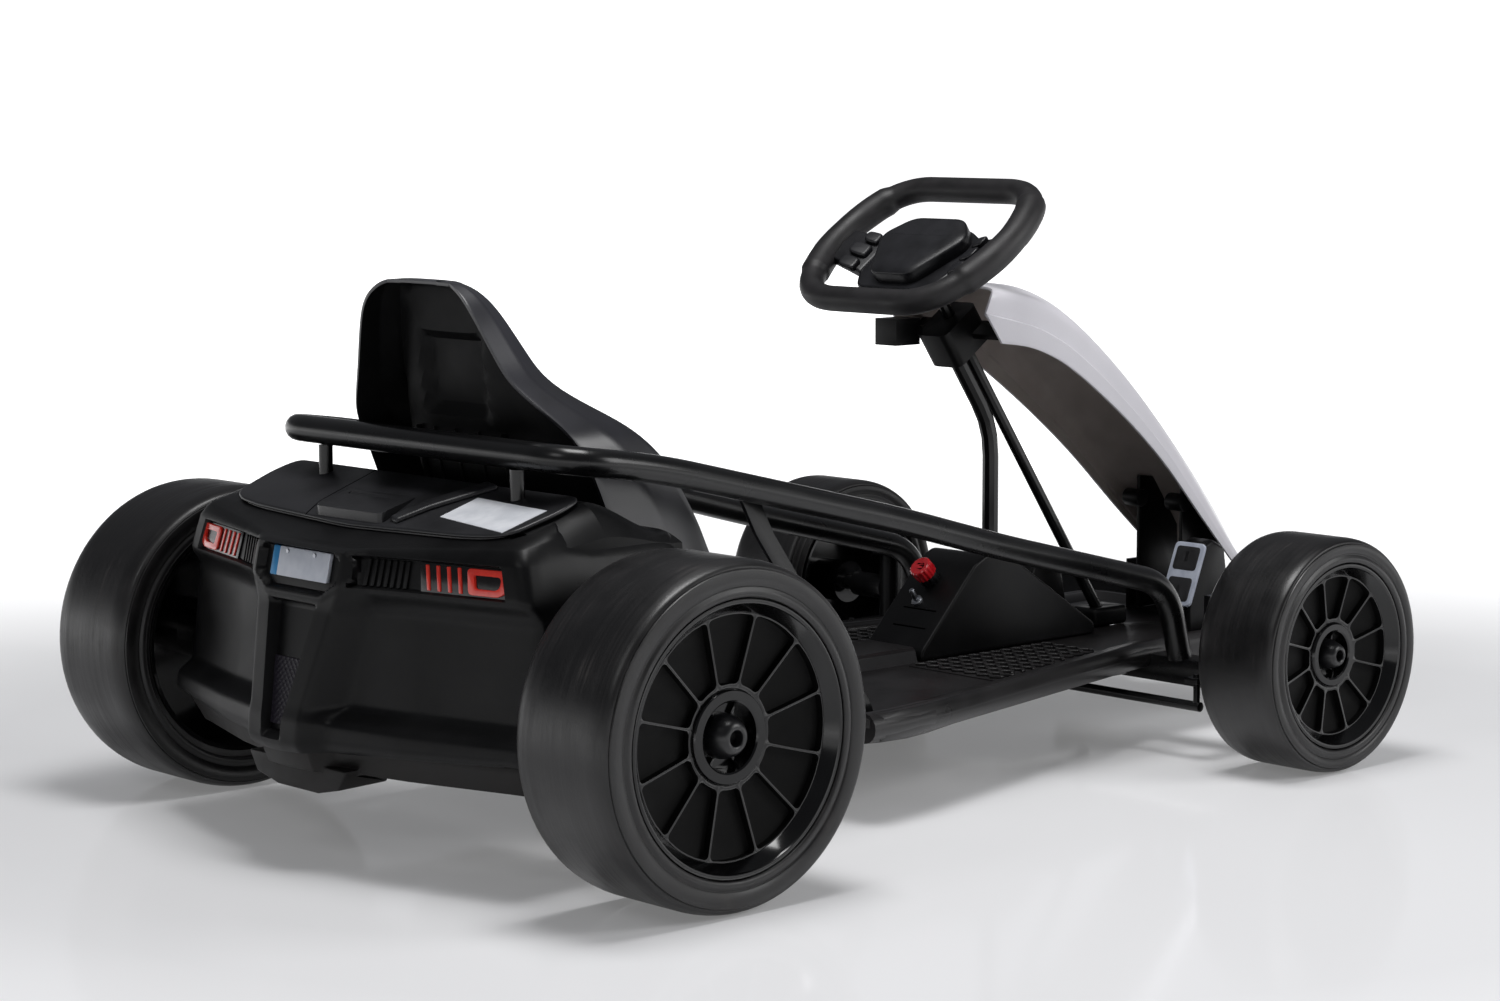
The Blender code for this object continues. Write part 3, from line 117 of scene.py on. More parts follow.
def mottled(name, colours, roughness, patch, grain, relief, settings=None):
    """A finish whose colour and gloss drift over a patch size, with a raised grain, in millimetres."""
    made, tree, shader = new_surface(name, settings or {})
    spot = add_node(tree, "TexCoord", {})
    drift = add_node(tree, "TexNoise", {"Scale": 1000 / patch, "Detail": 3.0, "Roughness": 0.6},
                     {"Vector": (spot, "Object")})
    fine = add_node(tree, "TexNoise", {"Scale": 1000 / grain, "Detail": 2.0}, {"Vector": (spot, "Object")})
    ramp = add_node(tree, "ValToRGB", {"ramp": [(0.35, linear(colours[0])), (0.65, linear(colours[1]))]},
                    {"Fac": (drift, "Fac")})
    span = {"From Min": 0.3, "From Max": 0.7, "To Min": roughness[0], "To Max": roughness[1]}
    gloss = add_node(tree, "MapRange", span, {"Value": (drift, "Fac")})
    bump = add_node(tree, "Bump", {"Strength": 0.6, "Distance": relief / 1000}, {"Height": (fine, "Fac")})
    link(tree, shader,
         {"Base Color": (ramp, "Color"), "Roughness": (gloss, "Result"), "Normal": (bump, "Normal")})
    return made


def only(piece):
    """Makes a piece the active one and the only one chosen."""
    bpy.ops.object.select_all(action="DESELECT")
    piece.select_set(True)
    bpy.context.view_layer.objects.active = piece


def applied(piece):
    """Applies a piece's modifiers."""
    only(piece)
    for modifier in list(piece.modifiers):
        bpy.ops.object.modifier_apply(modifier=modifier.name)
    return piece


def rounded(piece, width, segments=2, angle=35.0):
    """Rounds a piece's edges where they turn by more than an angle in degrees."""
    edge = piece.modifiers.new("edge", "BEVEL")
    edge.width, edge.segments, edge.angle_limit = width, segments, math.radians(angle)
    return piece


def open_piece(piece, kind="FACE"):
    """Opens one piece in edit mode with all of it chosen."""
    only(piece)
    bpy.ops.object.mode_set(mode="EDIT")
    bpy.ops.mesh.select_mode(type=kind)
    bpy.ops.mesh.select_all(action="SELECT")


def close_piece():
    bpy.ops.object.mode_set(mode="OBJECT")


def choose(piece, kind, wanted):
    """Chooses only the open piece's verts, edges or faces whose middle is a wanted place."""
    bpy.ops.mesh.select_all(action="DESELECT")
    form = bmesh.from_edit_mesh(piece.data)
    for part in getattr(form, kind):
        spots = [part.co] if kind == "verts" else [v.co for v in part.verts]
        if wanted(sum(spots, Vector()) / len(spots)):
            part.select_set(True)
    form.select_flush_mode()
    bmesh.update_edit_mesh(piece.data)


def settle(piece, node, material, stands_for=(), smooth=35.0):
    """Applies modifiers and place, shades, and hangs the piece on its node's body."""
    applied(piece)
    bpy.ops.object.transform_apply(location=True, rotation=True, scale=True)
    bpy.ops.object.shade_smooth_by_angle(angle=math.radians(smooth))
    if not piece.data.materials:
        piece.data.materials.append(material)
    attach(piece, body_of[node])
    if stands_for:
        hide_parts(*stands_for)
    return piece


MERGE_WITHIN = 0.00002


def tidy_faces(piece):
    """Merges what lies together and turns every face outwards."""
    open_piece(piece)
    bpy.ops.mesh.remove_doubles(threshold=MERGE_WITHIN)
    bpy.ops.mesh.normals_make_consistent(inside=False)
    close_piece()


def copy_of(node, name, bevel=0.0, segments=2, angle=35.0):
    """A merged copy of a CAD node with its edges rounded, as a moulded or cast piece has them."""
    piece = frame["nodes"][node].copy()
    piece.data = piece.data.copy()
    piece.name = name
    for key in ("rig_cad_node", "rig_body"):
        del piece[key]
    piece.parent = None
    piece.data.materials.clear()
    bpy.context.scene.collection.objects.link(piece)
    open_piece(piece)
    bpy.ops.mesh.customdata_custom_splitnormals_clear()
    bpy.ops.mesh.remove_doubles(threshold=0.00001)
    bpy.ops.mesh.dissolve_limited(angle_limit=math.radians(1.0))
    close_piece()
    return rounded(piece, bevel, segments, angle) if bevel else piece


def piped(name, path, radius, sides, closed=False):
    """A round tube along a path of (place, share of its radius): a ring, or with closed ends."""
    bpy.ops.curve.primitive_bezier_curve_add()
    bpy.context.object.name = name
    curve = bpy.context.object.data
    curve.splines.clear()
    line = curve.splines.new("POLY")
    line.points.add(len(path) - 1)
    for point, (spot, share) in zip(line.points, path):
        point.co, point.radius = (*spot, 1.0), share
    line.use_cyclic_u, curve.use_fill_caps = closed, not closed
    curve.dimensions, curve.bevel_depth, curve.bevel_resolution = "3D", radius, sides
    bpy.ops.object.convert(target="MESH")
    tidy_faces(bpy.context.object)
    return bpy.context.object


def bent_tube(name, corners, radius, bend, node, material, stands_for=(), sides=6):
    """A round tube through its corners, each bent to a radius, with closed ends."""
    path = [Vector(corners[0])]
    for before, corner, after in zip(corners, corners[1:], corners[2:]):
        before, corner, after = Vector(before), Vector(corner), Vector(after)
        into, away = before - corner, after - corner
        reach = min(bend, into.length * 0.48, away.length * 0.48)
        first, last = corner + into.normalized() * reach, corner + away.normalized() * reach
        for step in range(13):
            t = step / 12
            path.append(first * (1 - t) ** 2 + corner * 2 * t * (1 - t) + last * t ** 2)
    path.append(Vector(corners[-1]))
    return settle(piped(name, [(spot, 1.0) for spot in path], radius, sides), node, material, stands_for)


# Powder coat: polyester powder fused on steel.  Orange peel 4 mm across, low relief.
powder_coat = mottled("black_powder_coat", ("#0b0b0c", "#101011"), (0.24, 0.34), 90, 4.0, 0.05,
                      {"IOR": 1.5, "Specular IOR Level": 0.3, "Coat Weight": 0.15, "Coat Roughness": 0.15})

SIDES = ((1, "left"), (-1, "right"))
RAIL_R = 0.0125
RAIL_JOINT_X = 0.205
RAIL_SIDE = [(0.080, 0.209, 0.3420), (0.395, 0.190, 0.2670), (0.535, 0.184, 0.2285), (0.780, 0.180, 0.1680)]
RAIL_REAR = (-0.0155, 0.210, 0.3555)
RAIL_FOOT_X = 0.802
RAIL_FOOT_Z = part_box("front_beam")[0].z + 0.0289
rear_bend, side_bend = Vector(RAIL_SIDE[0]), Vector(RAIL_SIDE[1])
rail_joint = rear_bend.lerp(side_bend, (RAIL_JOINT_X - rear_bend.x) / (side_bend.x - rear_bend.x))
for side, label in SIDES:
    run = [tuple(rail_joint)] + RAIL_SIDE[1:] + [(RAIL_FOOT_X, RAIL_SIDE[-1][1], RAIL_FOOT_Z)]
    bent_tube("guard_rail_" + label, [(AXLE_X + x, side * y, z) for x, y, z in run], RAIL_R, 0.045,
              "rail_" + label, powder_coat, ["rail_" + label])
half_run = [tuple(rail_joint), RAIL_SIDE[0], RAIL_REAR]
run = half_run + [(x, -y, z) for x, y, z in reversed(half_run)]
bent_tube("guard_rail_rear", [(AXLE_X + x, y, z) for x, y, z in run], RAIL_R, 0.055,
          "rail_rear", powder_coat, ["rail_rear"])

COATED = {"frame_tube_left": 0.0, "frame_tube_right": 0.0, "front_beam": 0.0012, "rear_beam": 0.0,
          "rail_strut_left": 0.0008, "rail_strut_right": 0.0008, "knuckle_left": 0.0005,
          "knuckle_right": 0.0005, "tie_rod": 0.0004, "steering_shaft": 0.0, "steering_post": 0.0}
for node, bevel in COATED.items():
    settle(copy_of(node, "coated_" + node, bevel), node, powder_coat, [node])

# Rear axle: a bright drawn steel bar with the two moulded gearboxes round it.
# Turned marks run round the bar, so it reads as machined and not as painted.

turned_steel, steel_tree, steel_shader = new_surface(
    "turned_steel", {"Metallic": 1.0, "Base Color": linear("#a7a8ab")})
steel_spot = add_node(steel_tree, "TexCoord", {})
steel_marks = add_node(steel_tree, "TexNoise", {"Scale": 1500.0, "Detail": 1.0},
                       {"Vector": (steel_spot, "Object")})
steel_gloss = add_node(steel_tree, "MapRange", {"To Min": 0.24, "To Max": 0.42},
                       {"Value": (steel_marks, "Fac")})
link(steel_tree, steel_shader, {"Roughness": (steel_gloss, "Result")})
settle(copy_of("rear_axle", "drive_axle", 0.0008), "rear_axle", turned_steel, ["rear_axle"])

# Wheels: a hollow slick of blow-moulded polyethylene on a glossy rim with twelve ribs.
# The slick is satin with drawn scuffs round its tread; the rim is injection-moulded in
# gloss black, its pockets left with sharp bright edges; a domed plug closes the hub.

RIM_SHARE = 0.789
RIBS = 12
RIB_HALF = 0.0010
POCKET_DEPTH = 0.0070


def turned(name, profile, middle, steps=96):
    """A closed profile of (radius, height along Y) turned once round its middle."""
    bpy.ops.mesh.primitive_circle_add(vertices=len(profile), radius=0.01)
    piece = bpy.context.object
    piece.name = name
    for vert, (radius, height) in zip(piece.data.vertices, profile):
        vert.co = (middle[0] + radius, middle[1] + height, middle[2])
    open_piece(piece, "VERT")
    bpy.ops.mesh.spin(steps=steps, angle=2 * math.pi, center=middle, axis=(0, 1, 0))
    bpy.ops.mesh.select_all(action="SELECT")
    bpy.ops.mesh.remove_doubles(threshold=MERGE_WITHIN)
    bpy.ops.mesh.delete_loose()
    bpy.ops.mesh.select_all(action="SELECT")
    bpy.ops.mesh.normals_make_consistent(inside=False)
    close_piece()
    return piece


def slick_surface():
    """Polyethylene slick: satin, its scuffs stretched round the tread, 3 mm wide."""
    made, tree, shader = new_surface("moulded_polyethylene_slick", {"IOR": 1.5, "Specular IOR Level": 0.50})
    spot = add_node(tree, "TexCoord", {})
    round_tread = add_node(tree, "Mapping", {"Scale": (9.0, 330.0, 9.0)}, {"Vector": (spot, "Object")})
    streaks = add_node(tree, "TexNoise", {"Scale": 1.0, "Detail": 4.0, "Roughness": 0.65},
                       {"Vector": (round_tread, "Vector")})
    patches = add_node(tree, "TexNoise", {"Scale": 22.0, "Detail": 4.0}, {"Vector": (spot, "Object")})
    both = add_node(tree, "Math", {"operation": "MULTIPLY"}, {0: (streaks, "Fac"), 1: (patches, "Fac")})
    scuffs = [(0.22, linear("#0d0c0d")), (0.36, linear("#141213")), (0.46, linear("#2c2928"))]
    ramp = add_node(tree, "ValToRGB", {"ramp": scuffs}, {"Fac": (both, "Value")})
    gloss = add_node(tree, "MapRange", {"From Min": 0.15, "From Max": 0.4, "To Min": 0.32, "To Max": 0.52},
                     {"Value": (both, "Value")})
    grit = add_node(tree, "TexNoise", {"Scale": 520.0, "Detail": 2.0}, {"Vector": (spot, "Object")})
    bump = add_node(tree, "Bump", {"Strength": 0.5, "Distance": 0.00012}, {"Height": (grit, "Fac")})
    link(tree, shader,
         {"Base Color": (ramp, "Color"), "Roughness": (gloss, "Result"), "Normal": (bump, "Normal")})
    return made


slick = slick_surface()
# Gloss ABS: polished mould, so nearly mirror smooth, with faint waves 25 mm long from cooling.
gloss_abs = mottled("gloss_moulded_abs", ("#060607", "#0a0a0b"), (0.10, 0.18), 60, 25.0, 0.10,
                    {"IOR": 1.54, "Specular IOR Level": 0.40})
# Pocket floors: a darker finish that barely reflects, painted shade that keeps them deep black beside the
# ribs.
pocket_shade_finish = mottled("abs_pocket_painted_shade", ("#050505", "#090909"), (0.50, 0.62), 30, 0.8, 0.06,
                     {"IOR": 1.5, "Specular IOR Level": 0.10})
# Satin ABS: a fine-grained mould, so light spreads wider on the plugs than on the rim.
satin_abs = mottled("satin_moulded_abs", ("#121214", "#19191b"), (0.26, 0.36), 20, 2.0, 0.03, {"IOR": 1.5})


def slick_profile(radius, half, rim):
    """Half of the slick's section, from its bore to the middle of the tread, then mirrored."""
    outer = [(rim - 0.0056, half - 0.0066), (rim + 0.0005, half - 0.0066), (rim + 0.0005, half - 0.0020),
             (rim + 0.0015, half - 0.0006), (rim + 0.0035, half), (rim + 0.0065, half - 0.0002),
             (rim + 0.0080, half - 0.0018), (rim + 0.0092, half - 0.0018), (rim + 0.0102, half - 0.0006),
             (0.930 * radius, half - 0.0002), (0.948 * radius, half - 0.0008),
             (0.952 * radius, half - 0.0022), (0.957 * radius, half - 0.0020)]
    for step in range(7):
        turn = math.radians(90 * step / 6)
        outer.append((radius * (0.960 + 0.040 * math.sin(turn)), half * (0.60 + 0.36 * math.cos(turn))))
    outer.append((radius, half * 0.06))
    return outer + [(radius, half * 0.03)] + [(r, -h) for r, h in reversed(outer)]


def walled(piece, thickness, offset, inside=0, rim=0):
    """Gives a sheet its thickness, and its other face and its rim the piece's next material."""
    wall = piece.modifiers.new("wall", "SOLIDIFY")
    wall.thickness, wall.offset = thickness, offset
    wall.material_offset, wall.material_offset_rim = inside, rim
    return piece


def rim_pockets(name, middle, side, low, high, inner, outer):
    """The rim's dished face: one pocket between two ribs, set back, then copied round."""
    sector = math.pi / RIBS
    radii = [inner, inner + 0.0035, inner + (outer - inner) * 0.35, inner + (outer - inner) * 0.7,
             outer - 0.0012, outer]
    shares = (0.0, None, 0.30, 0.44, 0.56, 0.70, None, 1.0)
    bpy.ops.mesh.primitive_grid_add(x_subdivisions=len(shares) - 1, y_subdivisions=len(radii) - 1,
                                    size=0.01)
    piece = bpy.context.object
    piece.name = name
    for k, vert in enumerate(piece.data.vertices):
        radius, column = radii[k // len(shares)], k % len(shares)
        rib = RIB_HALF / radius
        turn = {1: -sector + rib, len(shares) - 2: sector - rib}.get(column)
        if turn is None:
            turn = -sector + 2 * sector * shares[column]
        height = low + (high - low) * (radius - inner) / (outer - inner)
        vert.co = (middle[0] + radius * math.cos(turn), middle[1] + side * height,
                   middle[2] + radius * math.sin(turn))

    def in_pocket(spot):
        away = Vector((spot.x - middle[0], spot.z - middle[2]))
        turn = abs(math.atan2(away.y, away.x))
        return radii[1] < away.length < radii[-2] and turn < sector - RIB_HALF / away.length

    open_piece(piece)
    choose(piece, "faces", in_pocket)
    bpy.ops.mesh.extrude_region_move(TRANSFORM_OT_translate={"value": (0, -side * POCKET_DEPTH, 0)})
    bpy.ops.mesh.select_all(action="DESELECT")
    bpy.ops.mesh.select_mode(type="EDGE")
    corners = [(r, s * (sector - RIB_HALF / r)) for r in (radii[1], radii[-2]) for s in (1, -1)]
    posts = [Vector((middle[0] + r * math.cos(t), middle[2] + r * math.sin(t))) for r, t in corners]
    form = bmesh.from_edit_mesh(piece.data)
    for edge in form.edges:
        a, b = edge.verts[0].co, edge.verts[1].co
        flat = Vector((a.x, a.z))
        upright = (flat - Vector((b.x, b.z))).length < 0.0004 and abs(a.y - b.y) > POCKET_DEPTH * 0.5
        if upright and min((flat - post).length for post in posts) < 0.0006:
            edge.select_set(True)
    bmesh.update_edit_mesh(piece.data)
    bpy.ops.mesh.bevel(offset=0.0045, segments=4)
    bpy.ops.mesh.select_all(action="SELECT")
    bpy.ops.mesh.spin(steps=RIBS - 1, dupli=True, angle=2 * math.pi * (RIBS - 1) / RIBS, center=middle,
                      axis=(0, 1, 0))
    bpy.ops.mesh.select_all(action="SELECT")
    bpy.ops.mesh.remove_doubles(threshold=0.00005)
    bpy.ops.mesh.normals_make_consistent(inside=False)
    close_piece()
    out = sum((face.normal.y for face in piece.data.polygons)) * side
    applied(walled(piece, 0.0012, -1.0 if out > 0 else 1.0))
    tidy_faces(piece)
    piece.data.materials.append(gloss_abs)
    piece.data.materials.append(pocket_shade_finish)
    for face in piece.data.polygons:
        away = Vector((face.center.x - middle[0], face.center.z - middle[2])).length
        top = low + (high - low) * (away - inner) / (outer - inner)
        # Sunk pocket faces take the painted-shade finish.
        if side * (face.center.y - middle[1]) < top - POCKET_DEPTH * 0.30:
            face.material_index = 1
    return applied(rounded(piece, 0.0006, 2, 60))


def join(pieces):
    """Makes several meshes one piece, under the first one's name."""
    bpy.ops.object.select_all(action="DESELECT")
    for piece in pieces:
        piece.select_set(True)
    bpy.context.view_layer.objects.active = pieces[0]
    bpy.ops.object.join()
    return pieces[0]


for wheel in ("rear_left", "rear_right", "front_left", "front_right"):
    low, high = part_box(wheel + "_tyre")
    middle = tuple((low + high) / 2)
    radius, half = (high.z - low.z) / 2, (high.y - low.y) / 2
    side = 1 if middle[1] > 0 else -1
    rim = RIM_SHARE * radius
    disc, ring, cup, bore = half - 0.024, 0.27 * radius, 0.20 * radius, 0.0085
    slick_piece = turned(wheel + "_slick", slick_profile(radius, half, rim), middle)
    settle(slick_piece, wheel + "_tyre", slick, [wheel + "_tyre"], 50)

    profile = [(rim - 0.0096, 0.005 - half), (rim - 0.0060, 0.004 - half), (rim - 0.0060, half - 0.0068),
               (rim, half - 0.0064), (rim, half - 0.0034), (rim - 0.0008, half - 0.0022),
               (rim - 0.0024, half - 0.0018), (rim - 0.0042, half - 0.0024), (rim - 0.0052, half - 0.0040),
               (rim - 0.0124, disc + 0.0122), (rim - 0.0134, disc + 0.0100), (rim - 0.0140, disc + 0.0010),
               (ring + 0.0060, disc - 0.0010), (ring + 0.0016, disc + 0.0010), (ring, disc + 0.0088),
               (ring - 0.0012, disc + 0.0100), (cup + 0.0014, disc + 0.0100), (cup, disc + 0.0088),
               (cup - 0.0010, disc - 0.0036), (bore, disc - 0.0040), (bore, 0.020 - half),
               (cup, 0.020 - half), (cup, disc - 0.008), (rim - 0.0100, disc - 0.006)]
    rim_piece = turned(wheel + "_rim_face", [(r, side * h) for r, h in profile], middle)
    rim_piece.data.materials.append(gloss_abs)
    pockets = rim_pockets(wheel + "_pockets", middle, side, disc + 0.0072, disc + 0.0118,
                          ring + 0.0006, rim - 0.0127)
    tab_r = (cup + 0.13 * radius) / 2
    tab_place = (middle[0] + tab_r, middle[1] + side * (disc - 0.0040), middle[2])
    bpy.ops.mesh.primitive_cube_add(size=1, location=tab_place)
    tabs = bpy.context.object
    tabs.data.materials.append(gloss_abs)
    bpy.ops.transform.resize(value=(cup - 0.13 * radius - 0.001, 0.009, 0.003))
    bpy.ops.object.transform_apply(location=True, rotation=True, scale=True)
    open_piece(tabs)
    bpy.ops.mesh.bevel(offset=0.0005, segments=2)
    bpy.ops.mesh.select_all(action="SELECT")
    bpy.ops.mesh.spin(steps=5, dupli=True, angle=2 * math.pi * 5 / 6, center=middle, axis=(0, 1, 0))
    close_piece()
    settle(join([rim_piece, pockets, tabs]), wheel + "_rim", gloss_abs, [wheel + "_rim"])

    seat_y, wide = half - 0.0277, 0.13 * radius
    dome = [(0, seat_y), (wide, seat_y), (wide, seat_y + 0.005), (wide * 0.97, seat_y + 0.008),
            (wide * 0.90, seat_y + 0.012), (wide * 0.76, seat_y + 0.0175), (wide * 0.66, seat_y + 0.0198),
            (wide * 0.54, seat_y + 0.0210), (wide * 0.44, seat_y + 0.0212), (wide * 0.38, seat_y + 0.0206),
            (wide * 0.35, seat_y + 0.0190), (wide * 0.33, seat_y + 0.012), (0, seat_y + 0.012)]
    cap_piece = turned(wheel + "_plug", [(r, side * h) for r, h in dome], middle, 48)
    settle(cap_piece, wheel + "_cap", satin_abs, [wheel + "_cap"])

# Rear cover: one large blow-moulded polypropylene housing over battery and motors.
# Fine mould grain leaves it satin.  A prow with a meshed channel stands out of the rear
# face, the side panels are drawn in above a ledge, and a band is set back for the lamps.

grained_pp = mottled("grained_polypropylene", ("#080809", "#101011"), (0.34, 0.46), 80, 1.8, 0.06,
                      {"IOR": 1.49, "Specular IOR Level": 0.18})


def oblong(left, right, low, high):
    """The four corners of an upright rectangle."""
    return [(left, low), (right, low), (right, high), (left, high)]


# Each row: z, channel half, prow x, half, panel x, inner y, outer x, half width, share of deck's slope
COVER_ROWS = [
    (0.1120, 0.012, -0.172, 0.036, -0.152, 0.050, -0.106, 0.258, 0.0),
    (0.1160, 0.013, -0.178, 0.037, -0.158, 0.052, -0.112, 0.262, 0.0),
    (0.1310, 0.015, -0.176, 0.038, -0.155, 0.055, -0.110, 0.262, 0.0),
    (0.1410, 0.017, -0.173, 0.039, -0.137, 0.057, -0.095, 0.260, 0.0),
    (0.2260, 0.035, -0.152, 0.056, -0.123, 0.078, -0.087, 0.256, 0.0),
    (0.2340, 0.037, -0.151, 0.060, -0.126, 0.084, -0.089, 0.254, 0.0),
    (0.2445, 0.040, -0.150, 0.064, -0.136, 0.086, -0.099, 0.252, 0.0),
    (0.2755, 0.040, -0.143, 0.064, -0.130, 0.080, -0.095, 0.241, 0.1),
    (0.2860, 0.034, -0.131, 0.060, -0.123, 0.080, -0.089, 0.230, 0.7),
    (0.2890, 0.028, -0.118, 0.045, -0.112, 0.070, -0.077, 0.214, 1.0),
]
CHANNEL_Z, CHANNEL_DEPTH, CHANNEL_STEPS = (0.1195, 0.2290), 0.0105, 14
COVER_FRONT_X, NOTCH_X, NOTCH_Y = 0.088, -0.038, 0.178
COVER_WALL = 0.003
# Each: rise from the rear face, slope's width, outline of (|y|, z).  Later ones lie over earlier ones.
BAND_DEPTH = 0.0060
RELIEF = [
    (-BAND_DEPTH, 0.0016, oblong(-1, 0.300, 0.2462, 0.2738)),
    (0.0010, 0.0030,
     [(-1, 0.2320), (0.042, 0.2320), (0.0760, 0.2500), (0.0760, 0.2700), (0.0620, 0.2790), (-1, 0.2790)]),
    (-0.0068, 0.0022,
     [(-1, 0.2375), (0.040, 0.2375), (0.0590, 0.2490), (0.0590, 0.2680), (0.0500, 0.2750), (-1, 0.2750)]),
]
NOTCH_SIDE, NOTCH_BACK = 12, 16
COVER_STEPS = (CHANNEL_STEPS, 12, 9, 25, 32, 6, 4, 8, 8, 3, 3, 8, NOTCH_SIDE, NOTCH_BACK)
REAR_STEPS = sum(COVER_STEPS[:5])
DECK_Z, DECK_FOOT_X, DECK_SLOPE = 0.289, -0.087, 0.33


def clamp(value):
    """A value held between 0 and 1."""
    return min(1.0, max(0.0, value))


def eased(value):
    """A share from 0 to 1 that starts and ends softly."""
    return clamp(value) ** 2 * (3 - 2 * clamp(value))


def softened(rows, first, last, turns=1):
    """Rows drawn towards their neighbours between two places, so many times over."""
    for turn in range(turns):
        soft = rows.copy()
        soft[first:last] = (rows[first - 1:last - 1] + 2 * rows[first:last]
                            + rows[first + 1:last + 1 or None]) / 4
        rows = soft
    return rows


def flip(piece):
    """Turns all faces of a piece round."""
    open_piece(piece)
    bpy.ops.mesh.flip_normals()
    close_piece()


def deck_z(x):
    """Height of the cover's top at x from the axle: it rises to the seat, the fenders run level."""
    return DECK_Z + (x - DECK_FOOT_X) * DECK_SLOPE if x <= NOTCH_X + 0.005 else DECK_Z


def inside_by(spot, outline):
    """How far a point is inside a convex outline, negative outside it."""
    depth = 1.0
    middle = np.mean(outline, axis=0)
    for (ya, za), (yb, zb) in zip(outline, outline[1:] + outline[:1]):
        normal = np.array([zb - za, ya - yb]) / math.hypot(zb - za, ya - yb)
        if np.dot(middle - (ya, za), normal) < 0:
            normal = -normal
        depth = min(depth, float(np.dot((spot[0] - ya, spot[1] - za), normal)))
    return depth


def cover_plan(channel, prow_x, prow_half, panel_x, panel_y, outer_x, half):
    """Half of one level of the cover, from the prow to the notch, in short even steps."""
    corners = [(prow_x, 0.0), (prow_x, channel), (prow_x + 0.002, prow_half), (panel_x, panel_y),
               ((panel_x * 2 + outer_x) / 3, half * 0.50), (outer_x, half - 0.0234),
               (outer_x + 0.004, half - 0.008), (outer_x + 0.009, half - 0.0018), (outer_x + 0.025, half),
               (COVER_FRONT_X - 0.018, half), (COVER_FRONT_X - 0.004, half - 0.008),
               (COVER_FRONT_X, half - 0.024), (COVER_FRONT_X, NOTCH_Y), (NOTCH_X, NOTCH_Y), (NOTCH_X, 0.0)]
    points = []
    for (xa, ya), (xb, yb), count in zip(corners, corners[1:], COVER_STEPS):
        points += [(xa + (xb - xa) * k / count, ya + (yb - ya) * k / count) for k in range(count)]
    plan = np.array(points + corners[-1:])
    for turn in range(3):
        prow_end = (plan[0, 0] + plan[1, 0]) / 2
        plan = softened(plan, 1, -(NOTCH_SIDE + NOTCH_BACK + 1))
        plan[0, 0] = prow_end
    return plan


LEVELS_TOP = {0.2755, 0.2785, 0.2812, 0.2838, 0.286, 0.2876, 0.289}
levels = sorted(set(np.round(np.arange(0.112, 0.2755, 0.0021), 4)) | LEVELS_TOP)
table = np.array(COVER_ROWS)


def cover_row(z):
    """The cover's measures at a height, between those of the rows above."""
    return [np.interp(z, table[:, 0], column) for column in table[:, 1:].T]


values = softened(np.array([cover_row(z) for z in levels]), 2, -8, 3)
rows = []
for z, row in zip(levels, values):
    plan = cover_plan(*row[:7])
    sunk = CHANNEL_DEPTH * clamp((z - CHANNEL_Z[0]) / 0.003) * clamp((CHANNEL_Z[1] - z) / 0.004)
    ahead = np.gradient(plan, axis=0)
    out = np.stack([-ahead[:, 1], ahead[:, 0]], axis=1) / np.linalg.norm(ahead, axis=1)[:, None]
    level = []
    for k, ((x, y), (nx, ny)) in enumerate(zip(plan, out)):
        push = 0.0
        if k < REAR_STEPS:
            for height, slope, outline in RELIEF:
                push += (height - push) * eased(inside_by((y, z), outline) / slope)
            push -= sunk * clamp((CHANNEL_STEPS - k) / 2)
        dip = 0.010 * max(0.0, 1 - y / 0.25) * max(0.0, 1 - (z - 0.112) / 0.016) if k < REAR_STEPS else 0.0
        level.append((AXLE_X + x + nx * push, y + ny * push, z + row[7] * (deck_z(x) - z) - dip))
    rows.append(level + [(x, -y, h) for x, y, h in reversed(level[1:-1])])
around = len(rows[0])
bpy.ops.mesh.primitive_grid_add(x_subdivisions=around, y_subdivisions=len(rows) - 1, size=0.1)
cover = bpy.context.object
cover.name = "rear_housing"
for k, vert in enumerate(cover.data.vertices):
    vert.co = rows[k // (around + 1)][k % (around + 1) % around]
open_piece(cover, "VERT")
form = bmesh.from_edit_mesh(cover.data)
form.verts.ensure_lookup_table()
base = (len(rows) - 1) * (around + 1)
rim = [form.verts[base + k] for k in range(around)]
fender, notch = REAR_STEPS, len(level) - NOTCH_BACK - 1
for loop in (rim[:fender + 1] + rim[notch:around - notch + 1] + rim[around - fender:],
             rim[fender:notch + 1],
             rim[around - notch:around - fender + 1]):
    form.faces.new(loop)
bmesh.update_edit_mesh(cover.data)
close_piece()
tidy_faces(cover)
if max(cover.data.polygons, key=lambda face: face.area).normal.z < 0:
    flip(cover)
applied(walled(cover, COVER_WALL, -1.0))


def from_axle(outline):
    """An outline measured from the axle, in the kart's own places."""
    return [(AXLE_X + a, b) for a, b in outline]


def slab(name, outline, low, high, axis="z", bevel=0.0, segments=2):
    """A flat outline raised between two heights along one axis, its edges rounded."""
    bpy.ops.mesh.primitive_circle_add(vertices=len(outline), fill_type="NGON")
    piece = bpy.context.object
    piece.name = name
    order = {"x": (2, 0, 1), "y": (0, 2, 1), "z": (0, 1, 2)}[axis]
    for vert, (a, b) in zip(piece.data.vertices, outline):
        spot = (a, b, low)
        vert.co = [spot[k] for k in order]
    rise = [0.0, 0.0, 0.0]
    rise["xyz".index(axis)] = high - low
    open_piece(piece)
    bpy.ops.mesh.extrude_region_move(TRANSFORM_OT_translate={"value": rise})
    bpy.ops.mesh.select_all(action="SELECT")
    bpy.ops.mesh.normals_make_consistent(inside=False)
    close_piece()
    return rounded(piece, bevel, segments) if bevel else piece


